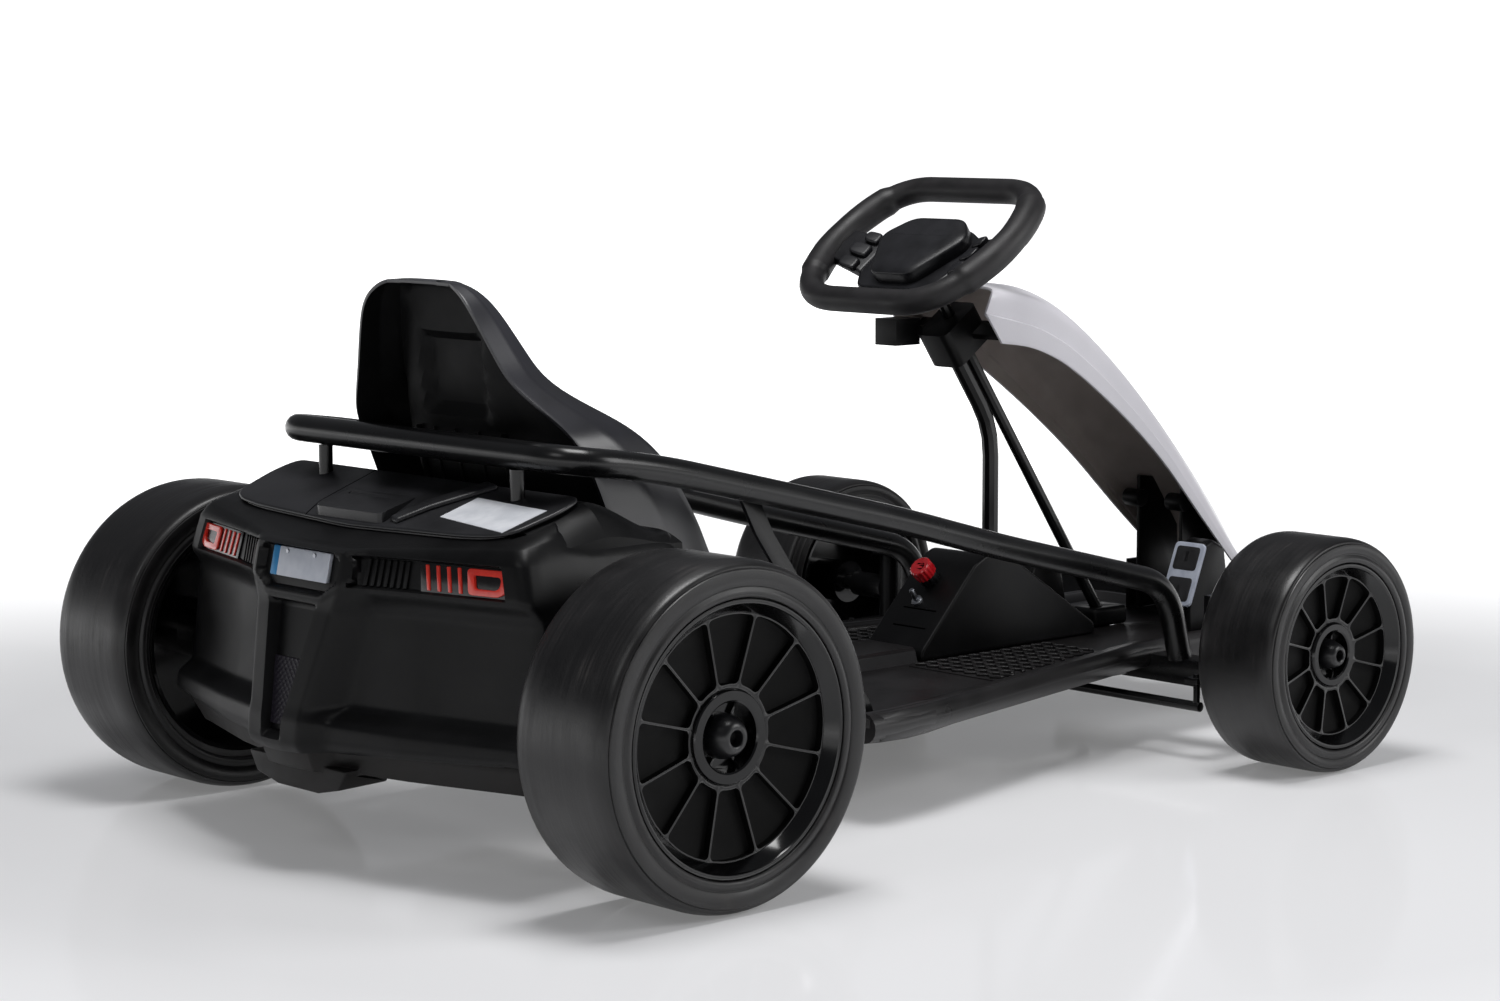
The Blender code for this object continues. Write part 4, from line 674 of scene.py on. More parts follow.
def carve(piece, tool):
    """Cuts one piece with another, which goes."""
    applied(tool)
    cut = piece.modifiers.new("cut", "BOOLEAN")
    cut.object, cut.operation = tool, "DIFFERENCE"
    only(piece)
    bpy.ops.object.modifier_apply(modifier="cut")
    bpy.data.objects.remove(tool)


def soft_outline(corners, radius, steps=4):
    """A closed flat outline with round corners."""
    outline = []
    for k, corner in enumerate(corners):
        here = Vector(corner)
        back, on = Vector(corners[k - 1]) - here, Vector(corners[(k + 1) % len(corners)]) - here
        reach = min(radius, back.length * 0.48, on.length * 0.48)
        first, last = here + back.normalized() * reach, here + on.normalized() * reach
        outline += [tuple(first * (1 - t) ** 2 + here * 2 * t * (1 - t) + last * t ** 2)
                    for t in (step / steps for step in range(steps + 1))]
    return outline


ARCH = [(0.110, 0.09), (0.110, 0.165), (0.066, 0.215), (-0.070, 0.215), (-0.082, 0.165), (-0.082, 0.09)]
for low, high in ((0.170, 0.290), (-0.290, -0.170)):
    carve(cover, slab("axle_arch", from_axle(soft_outline(ARCH, 0.022, 5)), low, high, "y"))
settle(cover, "rear_cover", grained_pp, ["rear_cover"], 40)


def sheet(name, rows):
    """A mesh sheet with its vertices at the places of a net of rows, measured from the axle."""
    bpy.ops.mesh.primitive_grid_add(x_subdivisions=rows.shape[1] - 1, y_subdivisions=rows.shape[0] - 1,
                                    size=0.1)
    piece = bpy.context.object
    piece.name = name
    for k, vert in enumerate(piece.data.vertices):
        x, y, z = rows[k // rows.shape[1], k % rows.shape[1]]
        vert.co = (AXLE_X + x, y, z)
    tidy_faces(piece)
    return piece


CREST_X, CREST_RISE, CREST_RUN = 0.002, 0.0294, 0.084
FENDER_Y, FENDER_RUN, DECK_GAP = 0.200, 0.036, 0.0003


def deck_height(x, y):
    """Height of the moulded deck: it climbs forwards, and falls again over the fenders."""
    climb = DECK_SLOPE * (x - DECK_FOOT_X)
    if x > CREST_X:
        climb = CREST_RISE * math.cos(math.pi / 2 * (x - CREST_X) / CREST_RUN) ** 2
    outer = clamp((abs(y) - FENDER_Y) / FENDER_RUN)
    return DECK_Z + DECK_GAP + climb * (1 - 0.6 * outer * outer) - 0.009 * outer * outer


def deck_sheet(name, xs, ys, sunk):
    """A sheet over the deck between places along x and y, its rim turned down."""
    rows = [[(x, y, deck_height(x, y)) for y in ys] for x in xs]
    for row in rows:
        for end in (0, -1):
            x, y, z = row[end]
            row[end] = (x, y, z - sunk)
    if xs[-1] < 0.01:
        rows.append([(xs[-1] + 0.001, y, z - 0.020) for x, y, z in rows[-1]])
    piece = sheet(name, np.array(rows))
    if sum(face.normal.z for face in piece.data.polygons) < 0:
        flip(piece)
    return applied(walled(piece, 0.0025, -1.0))


across = [0.2385] + list(np.linspace(0.236, 0.196, 9)) + list(np.linspace(0.18, 0.0, 8))
parts = [deck_sheet("deck_front", list(np.linspace(-0.060, 0.002, 14)),
                    across + [-y for y in across[-2::-1]], 0.030)]
for side in (1, -1):
    beside = [side * y for y in [0.2385] + list(np.linspace(0.236, 0.179, 12)) + [0.1778]]
    parts.append(deck_sheet("fender_shoulder", list(np.linspace(0.002, 0.086, 18)), beside, 0.030))
settle(join(parts), "rear_cover", grained_pp, smooth=30)

# Lid of the battery bay: a flat moulding laid on the deck with a dark gap round it, a
# raised catch with a finger recess, and a half-round rib running forwards from it.

LID = [(-0.0955, 0.0), (-0.0855, 0.150), (-0.0795, 0.184), (-0.0690, 0.203), (-0.0250, 0.211),
       (0.0010, 0.206)]


def mirrored(half, skip=0):
    """A half outline and its mirror image, which leaves out the first few places."""
    return half + [(x, -y) for x, y in reversed(half[skip:])]


def on_deck(name, plan, foot, rise, bevel, segments=3):
    """A plate over a plan of (x, y) that follows the deck's slope."""
    piece = slab(name, from_axle(plan), foot, rise, "z", bevel, segments)
    for vert in piece.data.vertices:
        vert.co.z += DECK_Z + (vert.co.x - AXLE_X - DECK_FOOT_X) * DECK_SLOPE
    return piece


lid_outline = soft_outline(mirrored(LID, 1), 0.022, 6)
lid = on_deck("battery_lid", lid_outline, 0.0016, 0.0056, 0.0018, 4)
core = on_deck("lid_core", [(x * 0.93 - 0.0045, y * 0.96) for x, y in lid_outline], 0.0002, 0.0020, 0.0)
CATCH = [(-0.0905, 0.052), (-0.0400, 0.068), (-0.0360, -0.026), (-0.0890, -0.046)]
RECESS = [(-0.0530, 0.055), (-0.0460, 0.057), (-0.0430, -0.015), (-0.0500, -0.019)]
catch = on_deck("lid_catch", soft_outline(CATCH, 0.008), 0.0045, 0.0140, 0.0042, 5)
for vert in catch.data.vertices:
    vert.co.z -= 0.22 * max(0.0, vert.co.x - AXLE_X + 0.0760) if vert.co.z > 0.3 else 0.0
carve(catch, on_deck("finger_recess", soft_outline(RECESS, 0.003), 0.0070, 0.0200, 0.0))
RIB = [(-0.0830, -0.0480), (-0.0497, -0.0531), (-0.0018, -0.0817), (-0.0060, -0.1020), (-0.0560, -0.0710),
       (-0.0860, -0.0620)]
rib = on_deck("lid_rib", RIB, 0.0045, 0.0105, 0.0050, 5)
for piece in (lid, core, catch, rib):
    applied(piece)
SEAM = [(-0.1000, 0.0580), (-0.0655, 0.0765), (0.0060, 0.0830), (0.0060, 0.0845), (-0.0662, 0.0782),
        (-0.1000, 0.0600)]
carve(lid, on_deck("lid_seam", SEAM, 0.0042, 0.0100, 0.0))
# Lid plastic: a shade greyer than the cover round it; the lighter grey is painted light that its top
# catches.
lid_pp_painted_light = mottled("lid_polypropylene_painted_light", ("#19191b", "#222225"), (0.34, 0.46), 60, 1.4, 0.05,
                 {"IOR": 1.49, "Specular IOR Level": 0.5})
settle(join([lid, core, catch, rib]), "rear_lid", lid_pp_painted_light, ["rear_lid"], 35)

# Sheet label on the lid: a thin blank vinyl sticker, stuck down flat.
# It is a little grey, and matt beside the satin lid.

paper = mottled("matt_vinyl_label", ("#c9ccd2", "#dfe1e6"), (0.45, 0.6), 30, 0.8, 0.02)
LABEL = [(-0.0642, -0.0951), (-0.0246, -0.0969), (-0.0297, -0.1972), (-0.0745, -0.1933)]
label = on_deck("blank_label", LABEL, 0.0054, 0.0060, 0.0)
settle(label, "rear_lid", paper)

# Number plate: a blank white PVC plate with a blue band, screwed into the prow's surround.
# Its face is semi-gloss with a fine texture, its rim rolled.

plate_pvc = mottled("white_pvc_plate", ("#d3d8e2", "#e4e8f0"), (0.30, 0.42), 25, 0.9, 0.02)
blue_pvc = mottled("blue_pvc_band", ("#2a7fb8", "#3a94cc"), (0.30, 0.40), 25, 0.9, 0.02)
# Zinc plate: thin bright metal, slightly dulled, so the screw heads sparkle a little.
zinc = mottled("zinc_plated_screw", ("#8d9096", "#a9abb0"), (0.28, 0.42), 6, 0.6, 0.01, {"Metallic": 1.0})
PLATE_Z, PLATE_HALF, PLATE_LEAN = (0.2475, 0.2725), 0.042, 0.006 / 0.027
plate_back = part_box("number_plate")[1].x


def on_plate(name, outline, foot, rise, bevel):
    """A plate over an outline of (y, z), stood out from the prow's leaning face."""
    piece = slab(name, outline, -foot, -rise, "x", bevel, 2)
    for vert in piece.data.vertices:
        vert.co.x += plate_back - (PLATE_Z[1] - vert.co.z) * PLATE_LEAN
    return piece


low, high = PLATE_Z
edges = soft_outline(oblong(-PLATE_HALF, PLATE_HALF - 0.0095, low, high), 0.0015)
settle(on_plate("plate_face", edges, 0.0, 0.0036, 0.0005), "number_plate", plate_pvc, ["number_plate"])
edges = soft_outline(oblong(PLATE_HALF - 0.0098, PLATE_HALF, low, high), 0.0015)
settle(on_plate("plate_band", edges, 0.0, 0.0036, 0.0005), "number_plate", blue_pvc)
SCREW_DROP = 0.0035


def rod(radius, length, place, turn=(0, 0, 0), sides=32):
    """A round bar about its middle, upright before its turn."""
    bpy.ops.mesh.primitive_cylinder_add(vertices=sides, radius=radius, depth=length, location=place,
                                        rotation=turn)
    bpy.ops.object.transform_apply(location=True, rotation=True, scale=True)
    return bpy.context.object


screw_x = plate_back - 0.0040 - SCREW_DROP * PLATE_LEAN
screws = [rod(0.0019, 0.0016, (screw_x, y, high - SCREW_DROP), (0, math.pi / 2, 0), 20)
          for y in (-0.020, 0.020)]
settle(join(screws), "number_plate", zinc)

# Tail lamps: red acrylic bars and a ring, glued over a smoked strip set into the band.
# The lens is glossy, with a faint painted glow, standing in for light through it, that keeps its red deep
# in the shade.

# Its emission is a painted glow.
red_lens_painted_glow = mottled("red_acrylic_lens_painted_glow", ("#cf3026", "#df4030"), (0.14, 0.24), 12, 6.0, 0.02,
                   {"IOR": 1.49, "Coat Weight": 0.5, "Coat Roughness": 0.05,
                    "Emission Color": linear("#c81e10"),
                    "Emission Strength": 0.12})
smoked = mottled("smoked_acrylic_strip", ("#100c0d", "#181213"), (0.14, 0.24), 30, 5.0, 0.03, {"IOR": 1.49})
LAMP_BARS, LAMP_SLANT, BAR_WIDE = (0.1378, 0.1488, 0.1598, 0.1708), 0.0055, 0.0030
SLATS, SLAT_WIDE = (0.0790, 0.0855, 0.0920, 0.0985, 0.1050, 0.1115, 0.1180), 0.0032
LAMP_RING = [(0.1815, 0.2710), (0.1865, 0.2494), (0.2175, 0.2494), (0.2240, 0.2535), (0.2250, 0.2668),
             (0.2215, 0.2710)]
band_plans = [cover_plan(*cover_row(z)[:7]) for z in PLATE_Z]


def band_x(y, z):
    """Where the set-back band's face is, from the axle, at a width and a height."""
    ends = [np.interp(abs(y), plan[:REAR_STEPS + 12, 1], plan[:REAR_STEPS + 12, 0]) for plan in band_plans]
    return ends[0] + (ends[1] - ends[0]) * (z - PLATE_Z[0]) / (PLATE_Z[1] - PLATE_Z[0]) + BAND_DEPTH


def on_band(name, side, outline, foot, rise, bevel, cuts=0):
    """A piece over an outline of (|y|, z) that follows the band's bowed face."""
    piece = slab(name, [(side * y, z) for y, z in outline], -foot, -rise, "x")
    if cuts:
        open_piece(piece)
        for k in range(1, cuts):
            y = side * (outline[0][0] + (max(p[0] for p in outline) - outline[0][0]) * k / cuts)
            bpy.ops.mesh.bisect(plane_co=(0, y, 0.26), plane_no=(0, 1, 0))
            bpy.ops.mesh.select_all(action="SELECT")
        close_piece()
    for vert in piece.data.vertices:
        vert.co.x += AXLE_X + band_x(vert.co.y, vert.co.z)
    rounded(piece, bevel, 3, 35)
    return piece


low, high = 0.2495, 0.2705
for side, label in SIDES:
    node = "tail_lamp_" + label
    strip = [(0.131, 0.2722), (0.136, 0.2478), (0.2262, 0.2478), (0.2262, 0.2722)]
    settle(on_band("lamp_strip_" + label, side, strip, 0.0002, 0.0016, 0.0004, 8), node, smoked, [node])
    bar = [(0, high), (LAMP_SLANT, low), (LAMP_SLANT + BAR_WIDE, low), (BAR_WIDE, high)]
    bars = [applied(on_band("lamp_bar", side, [(at + y, z) for y, z in bar], 0.0010, 0.0030, 0.0006))
            for at in LAMP_BARS]
    ring = applied(on_band("lamp_ring", side, soft_outline(LAMP_RING, 0.004, 3), 0.0010, 0.0038, 0.0008))
    middle = Vector((0.2045, 0.2604))
    inner = [(middle.x + (y - middle.x) * 0.66, middle.y + (z - middle.y) * 0.52) for y, z in LAMP_RING]
    carve(ring, on_band("lamp_hole", side, soft_outline(inner, 0.002, 2), -0.002, 0.009, 0.0001))
    settle(join(bars + [ring]), node, red_lens_painted_glow)
    slats = []
    for y in SLATS:
        slat = oblong(y, y + SLAT_WIDE, 0.2487, 0.2715)
        slats.append(applied(on_band("band_slat", side, slat, 0.0004, 0.0026, 0.0008)))
    settle(join(slats), "rear_cover", grained_pp)

# Vent mesh: an expanded sheet of black plastic behind the lower half of the prow's channel.
# Small staggered holes 4 mm apart are painted near black as painted shade, and the strands between them
# purplish grey as painted light.

mesh_sheet, mesh_tree, mesh_shader = new_surface(
    "expanded_plastic_mesh", {"Roughness": 0.42, "IOR": 1.49, "Specular IOR Level": 0.2})
mesh_spot = add_node(mesh_tree, "TexCoord", {})
mesh_turn = add_node(mesh_tree, "Mapping", {"Rotation": (math.radians(45), 0, 0), "Scale": (0.01, 1, 1)},
                     {"Vector": (mesh_spot, "Object")})
holes = add_node(mesh_tree, "TexVoronoi", {"Scale": 1000 / 4.4, "Randomness": 0.0},
                 {"Vector": (mesh_turn, "Vector")})
# Near black in the holes is painted shade; purplish grey on the strands is painted light.
mesh_shade_light_ramp = add_node(mesh_tree, "ValToRGB",
                     {"ramp": [(0.25, linear("#050505")), (0.50, linear("#1f1c24"))]},
                     {"Fac": (holes, "Distance")})
mesh_bump = add_node(mesh_tree, "Bump", {"Strength": 1.0, "Distance": 0.0010},
                     {"Height": (holes, "Distance")})
link(mesh_tree, mesh_shader, {"Base Color": (mesh_shade_light_ramp, "Color"), "Normal": (mesh_bump, "Normal")})
vent = slab("vent_mesh", [(-0.0125, 0.1240), (0.0125, 0.1240), (0.0228, 0.1800), (-0.0228, 0.1800)],
            -0.0020, -0.0006, "x")
for vert in vent.data.vertices:
    vert.co.x += AXLE_X + cover_row(vert.co.z)[1] + CHANNEL_DEPTH
settle(vent, "rear_cover", mesh_sheet)

# Under tray: a skirt vacuum-formed from one polypropylene sheet and screwed up below the cover.
# It has a hump in its middle, and is lighter, browner and duller than the cover.

tray = copy_of("under_tray", "skirt_tray", 0.0022, 3, 25)
applied(tray)
open_piece(tray, "VERT")
choose(tray, "verts", lambda spot: spot.x < AXLE_X - 0.060)
bpy.ops.transform.translate(value=(0.0055, 0, 0))
bpy.ops.mesh.select_all(action="SELECT")
bpy.ops.transform.resize(value=(1, 0.982, 1), center_override=(0, 0, 0))
close_piece()
skirt_pp = mottled("brownish_skirt_polypropylene", ("#121111", "#1f1d1c"), (0.42, 0.58), 45, 1.6, 0.07,
                   {"IOR": 1.49, "Specular IOR Level": 0.25})
settle(tray, "under_tray", skirt_pp, ["under_tray"])

# Gearboxes: two moulded cases with ribs, each screwed together round one end of the axle.
# They sit in the shadow under the cover and carry the same satin grain.

for label in ("left", "right"):
    node = "gearbox_" + label
    settle(copy_of(node, "case_" + node, 0.0015, 2), node, grained_pp, [node])

# Seat: a blow-moulded polyethylene bucket, hollow behind, bolted down through its sides.
# It is satin with a fine grain, so its broad flanks carry one soft bluish light; the back
# has a pressed-in panel and five stiffening ribs below it.

seat_hdpe = mottled("satin_polyethylene_seat", ("#18181c", "#222229"), (0.30, 0.40), 110, 1.5, 0.04,
                    {"IOR": 1.51, "Specular IOR Level": 0.7})
# Inside the hollow back, and on its fins, a matt nearly black finish is painted shade.
seat_inside_shade = mottled("matt_polyethylene_painted_shade", ("#070708", "#0c0c0d"), (0.50, 0.62), 60, 1.5, 0.05,
                    {"IOR": 1.51, "Specular IOR Level": 0.15})
SEAT_TOP_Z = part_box("seat")[1].z
SEAT_ROWS = [  # edge (x, z), wing crest (x, z), middle (x, z), half width
    ((-0.0135, 0.4965), (-0.0130, 0.4972), (-0.0130, 0.4978), 0.046),
    ((-0.0150, 0.4955), (0.000, 0.4990), (0.008, 0.4995), 0.052),
    ((-0.0165, 0.4880), (0.010, 0.4920), (0.016, 0.4950), 0.068),
    ((-0.0165, 0.4750), (0.019, 0.4780), (0.020, 0.4750), 0.080),
    ((-0.0070, 0.4400), (0.034, 0.4430), (0.022, 0.4300), 0.098),
    ((0.0000, 0.4150), (0.045, 0.4170), (0.025, 0.4050), 0.110),
    ((0.0110, 0.3980), (0.060, 0.4000), (0.028, 0.3900), 0.128),
    ((0.0320, 0.3680), (0.104, 0.3720), (0.036, 0.3450), 0.160),
    ((0.0520, 0.3300), (0.140, 0.3420), (0.044, 0.3050), 0.164),
    ((0.0800, 0.2600), (0.176, 0.2850), (0.072, 0.2450), 0.165),
    ((0.0880, 0.1800), (0.192, 0.2500), (0.125, 0.2180), 0.165),
    ((0.0900, 0.0920), (0.205, 0.2280), (0.205, 0.2100), 0.165),
    ((0.285, 0.0920), (0.280, 0.2200), (0.280, 0.2080), 0.165),
    ((0.292, 0.0920), (0.292, 0.1900), (0.292, 0.1900), 0.165),
    ((0.292, 0.0920), (0.292, 0.0920), (0.292, 0.0920), 0.165),
]
SEAT_STEPS = (7, 7, 3, 7, 6, 6)
SEAT_RUNS = (4, 3, 3, 6, 5, 4, 6, 6, 8, 8, 8, 10, 4, 8)
PANEL_DEPTH, PANEL_SLOPE = 0.011, 0.012
BACK_PANEL = oblong(-0.048, 0.048, 0.374, 0.455)
BACK_RIBS = (-0.062, -0.030, 0.004, 0.034, 0.060)


def fine(points, counts):
    """Points along straight runs, in so many steps for each run."""
    line = []
    for a, b, count in zip(points, points[1:], counts):
        line += [np.array(a) + (np.array(b) - np.array(a)) * k / count for k in range(count)]
    return line + [np.array(points[-1])]


def resampled(net, counts):
    """A net of rows with steps put in between its rows."""
    return np.array([fine(list(column), counts) for column in np.array(net).swapaxes(0, 1)]).swapaxes(0, 1)


net = []
for (ex, ez), (wx, wz), (mx, mz), half in SEAT_ROWS:
    left = [(ex, half, ez), (ex + (wx - ex) * 0.52, half - 0.0010, ez + (wz - ez) * 0.55),
            (wx, half - 0.012, wz), (wx + (mx - wx) * 0.1, half - 0.020, wz),
            (mx + (wx - mx) * 0.25, half * 0.62, mz + (wz - mz) * 0.25), (mx, half * 0.32, mz),
            (mx, 0.0, mz)]
    net.append(fine(left, SEAT_STEPS))
rows = softened(resampled(net, SEAT_RUNS), 1, -13, 8)
rows = softened(rows.swapaxes(0, 1), 15, -1, 3).swapaxes(0, 1)
rows = np.concatenate([rows, rows[:, -2::-1] * (1, -1, 1)], axis=1)
for row in rows:
    for spot in row:
        if spot[2] > 0.30 and spot[0] < 0.060:
            spot[0] += PANEL_DEPTH * eased(inside_by((spot[1], spot[2]), BACK_PANEL) / PANEL_SLOPE)
rows[:, :, 2] = np.minimum(rows[:, :, 2], SEAT_TOP_Z - 0.0035)
bucket = sheet("bucket_seat", rows)
backrest = [face for face in bucket.data.polygons if face.center.z > 0.35 and abs(face.center.y) < 0.04]
if sum(face.normal.x for face in backrest) > 0:
    flip(bucket)
# Painted shade: the dark finish goes on the inside of the hollow back and on the fins.
bucket.data.materials.append(seat_inside_shade)
bucket.data.materials.append(seat_hdpe)
applied(walled(bucket, 0.0030, 1.0, 1, 1))
fins = [applied(rounded(bucket, 0.0010, 2, 60))]
crown_z = max(vert.co.z for vert in bucket.data.vertices if abs(vert.co.y) < 0.02)
for vert in bucket.data.vertices:
    vert.co.z = min(vert.co.z, crown_z)
for rib in BACK_RIBS:
    fin_outline = from_axle([(0.0275, 0.364), (0.0375, 0.312), (0.0500, 0.312), (0.0420, 0.364)])
    fins.append(applied(slab("back_rib", fin_outline, rib - 0.0010, rib + 0.0010, "y", 0.0005, 2)))
    fins[-1].data.materials.append(seat_inside_shade)
settle(join(fins), "seat", seat_hdpe, ["seat"], 30)

# Steering wheel: a squared rim of soft TPE moulded over a steel core, with thumb rests
# and glue seams; its hub is moulded ABS with a domed pad and two pods of buttons.

HUB_X, HUB_Z, STEER_LEAN = 0.603, 0.505, math.radians(35.0)
GRIP_R, GRIP_BEND = 0.0128, 0.056
PALM_LOW, PALM_HIGH, PALM_Y = -0.048, 0.076, 0.055
HALF_GRIP = [(-0.086, 0.092), (0.010, 0.1235), (0.096, 0.096)]
lean = Matrix.Translation((AXLE_X + HUB_X, 0, HUB_Z)) @ Matrix.Rotation(-STEER_LEAN, 4, "Y")


def leaned(piece):
    """Turns a piece from the column's own axes to its place on the kart."""
    for vert in piece.data.vertices:
        vert.co = lean @ vert.co
    return piece


def grip_swell(x, y):
    """Share by which the grip is thicker: full palms at the sides, lips at their seams."""
    if abs(y) < PALM_Y:
        return 0.0
    palm = 0.17 * clamp(min(x - PALM_LOW, PALM_HIGH - x) / 0.003)
    lip = 0.12 * max(0.0, 1 - min(abs(x - PALM_LOW), abs(x - PALM_HIGH)) / 0.0035)
    return palm + lip - 0.05 * max(0.0, 1 - abs(x - 0.020) / 0.030)


grip_path = soft_outline(mirrored(HALF_GRIP), GRIP_BEND, 16)
runs = [p for k, p in enumerate(grip_path) if (Vector(p) - Vector(grip_path[k - 1])).length > 0.0005]
dense = []
for a, b in zip(runs, runs[1:] + runs[:1]):
    count = max(1, int((Vector(a) - Vector(b)).length / 0.0025))
    dense += [Vector(a).lerp(Vector(b), k / count) for k in range(count)]
swollen = [((x, y, 0.0), 1.0 + grip_swell(x, y)) for x, y in dense]
grip = leaned(piped("wheel_grip", swollen, GRIP_R, 8, True))
# TPE: soft and matt with a leather-like grain 1.4 mm across that breaks up every highlight.
grained_tpe = mottled("grained_tpe_grip", ("#131213", "#1d1b1d"), (0.46, 0.58), 25, 1.4, 0.14,
                      {"IOR": 1.5, "Specular IOR Level": 0.45})
settle(grip, "steering_wheel", grained_tpe, ["steering_wheel"], 60)

# Hub plastic: satin with an even grain, a shade lighter and glossier than the grip.
satin_hub = mottled("satin_abs_hub", ("#101013", "#19191d"), (0.34, 0.46), 30, 1.2, 0.05,
                    {"IOR": 1.5, "Specular IOR Level": 0.45})
HUB_SINK, SINK_FROM_Y, SINK_RUN = 0.013, 0.104, 0.044


def stepped(piece, wanted, steps):
    """Draws in the wanted faces of a piece by steps of (width, rise)."""
    open_piece(piece)
    choose(piece, "faces", wanted)
    for width, rise in steps:
        bpy.ops.mesh.inset(thickness=width, depth=rise)
    close_piece()


def dished(piece):
    """Sinks the hub's middle below the grip, its arms rising to the rim, then leans it."""
    for vert in applied(piece).data.vertices:
        vert.co.z -= HUB_SINK * clamp((SINK_FROM_Y - abs(vert.co.y)) / SINK_RUN)
    return leaned(piece)


half_plate = [(-0.052, 0.048), (-0.030, 0.062), (0.030, 0.062), (0.046, 0.034)]
parts = [dished(slab("hub_plate", soft_outline(mirrored(half_plate), 0.010),
                     -0.010, 0.003, "z", 0.0030, 4))]
for side in (1, -1):
    arm = [(-0.030, 0.060), (-0.022, 0.106), (0.022, 0.110), (0.026, 0.060)]
    parts.append(dished(slab("hub_arm", [(x, side * y) for x, y in arm], -0.008, 0.0035, "z", 0.0026, 3)))
    for x, deep, wide in ((-0.0245, 0.0085, 0.0095), (-0.0035, 0.0090, 0.0105), (0.0165, 0.0080, 0.0085)):
        key = [(x - deep, side * 0.0655), (x + deep, side * 0.0665),
               (x + deep * 0.8, side * (0.0665 + 2 * wide)),
               (x - deep * 0.9, side * (0.0655 + 2 * wide))]
        rocker = slab("rocker_button", soft_outline(key, 0.0055), 0.0010, 0.0085, "z", 0.0024, 4)
        parts.append(dished(rocker))
boss = rod(0.027, 0.032, (0, 0, -0.034), sides=48)
stepped(boss, lambda spot: spot.z < -0.049, ((0.004, 0.004), (0.008, 0.0), (0.002, -0.006)))
parts.append(leaned(boss))
settle(join(parts), "steering_hub", satin_hub, ["steering_hub"], 35)

half_pad = [(-0.045, 0.028), (0.016, 0.060), (0.046, 0.035)]
pad = slab("domed_pad", soft_outline(mirrored(half_pad), 0.013, 6), -0.0110, 0.0020, "z")
stepped(pad, lambda spot: spot.z > 0.0015, ((0.0022, 0.0016), (0.0060, 0.0014), (0.0090, 0.0008)))
settle(leaned(applied(rounded(pad, 0.0012, 3, 25))), "steering_pad", satin_hub, ["steering_pad"], 25)

# Column: the bearing block under the wheel with its switch box, and the bush on the floor.
# Both are moulded and clamped round the steel post and shaft, satin like the cover.

for node, bevel in (("column_block", 0.0030), ("column_bush", 0.0012)):
    settle(copy_of(node, "moulded_" + node, bevel, 3), node, grained_pp, [node])

# Floor: a vacuum-formed polypropylene pan whose long edges are rolled to open tubes.
# Rows of zigzag ribs under the feet stop shoes from sliding and wear slightly paler.

pan_pp = mottled("vacuum_formed_floor", ("#131213", "#1e1c1d"), (0.26, 0.40), 130, 2.2, 0.05,
                 {"IOR": 1.49, "Specular IOR Level": 0.45})
settle(copy_of("floor_pan", "moulded_floor", 0.0010, 2), "floor_pan", pan_pp, ["floor_pan"])
ROLL_R, ROLL_Z = 0.0124, 0.0905
SLEEVE = [(0.3055, 0.2450), (0.345, 0.2430), (0.392, 0.2360)]
PAN_EDGE = [(0.306, 0.245), (0.370, 0.241), (0.790, 0.145), (1.022, 0.145)]
for side, label in SIDES:
    run = [(AXLE_X + x, side * (y - ROLL_R), ROLL_Z) for x, y in PAN_EDGE]
    bent_tube("floor_roll_" + label, run, ROLL_R, 0.05, "floor_pan", pan_pp, sides=7)
    sleeve = [(AXLE_X + x, side * (y - ROLL_R), ROLL_Z - 0.0006) for x, y in SLEEVE]
    bent_tube("roll_sleeve_" + label, sleeve, ROLL_R + 0.0016, 0.02, "floor_pan", pan_pp, sides=7)
TREAD_ROWS, TREAD_FROM, TREAD_PITCH = 13, 0.553, 0.0152
ZIG_STEP, ZIG_OUT, ZIG_WIDE, TUNNEL_HALF = 0.0085, 0.0034, 0.0054, 0.054
ribs = []
for row in range(TREAD_ROWS):
    x = TREAD_FROM + row * TREAD_PITCH
    wide = np.interp(x, [0.370, 0.790], [0.241, 0.145]) - 0.029
    for side in (1, -1):
        count = int((wide - TUNNEL_HALF) / ZIG_STEP)
        near = [(x + (ZIG_OUT if k % 2 else -ZIG_OUT), side * (TUNNEL_HALF + k * ZIG_STEP))
                for k in range(count + 1)]
        outline = from_axle(near + [(a + ZIG_WIDE, b) for a, b in reversed(near)])
        ribs.append(slab("zigzag_rib", outline, 0.0955, 0.0990, "z"))
rib_piece = rounded(join(ribs), 0.0010, 2, 50)
worn_pp = mottled("worn_rib_polypropylene", ("#151415", "#232122"), (0.28, 0.42), 18, 1.5, 0.06,
                  {"IOR": 1.49, "Specular IOR Level": 0.5})
settle(rib_piece, "floor_pan", worn_pp)

# Console: a moulded fin screwed down over the floor's tunnel, with two grooves in its face.
# Its broad round edges catch a line of light.

CONSOLE = [(0.572, 0.0), (0.574, 0.010), (0.650, 0.090), (0.668, 0.099), (0.706, 0.092), (0.765, 0.054),
           (0.830, 0.012), (0.832, 0.0)]
CONSOLE_FOOT, GROOVE_WIDE = 0.0953, 0.0013
side_view = soft_outline([(AXLE_X + x, CONSOLE_FOOT + z) for x, z in CONSOLE], 0.006, 3)
fin = applied(rounded(slab("console_fin", side_view, -0.040, 0.040, "y"), 0.0075, 5, 60))
for height in (CONSOLE_FOOT + 0.030, CONSOLE_FOOT + 0.046):
    groove = from_axle(oblong(0.590, 0.620, height - GROOVE_WIDE, height))
    carve(fin, slab("face_groove", groove, -0.026, 0.020, "y"))
settle(fin, "console", grained_pp, ["console"], 40)

# Push button: a red ribbed cap on a black threaded sleeve, set square in the fin's face.
# A small plated toggle stands below it. The cap is smooth, with one sharp highlight.

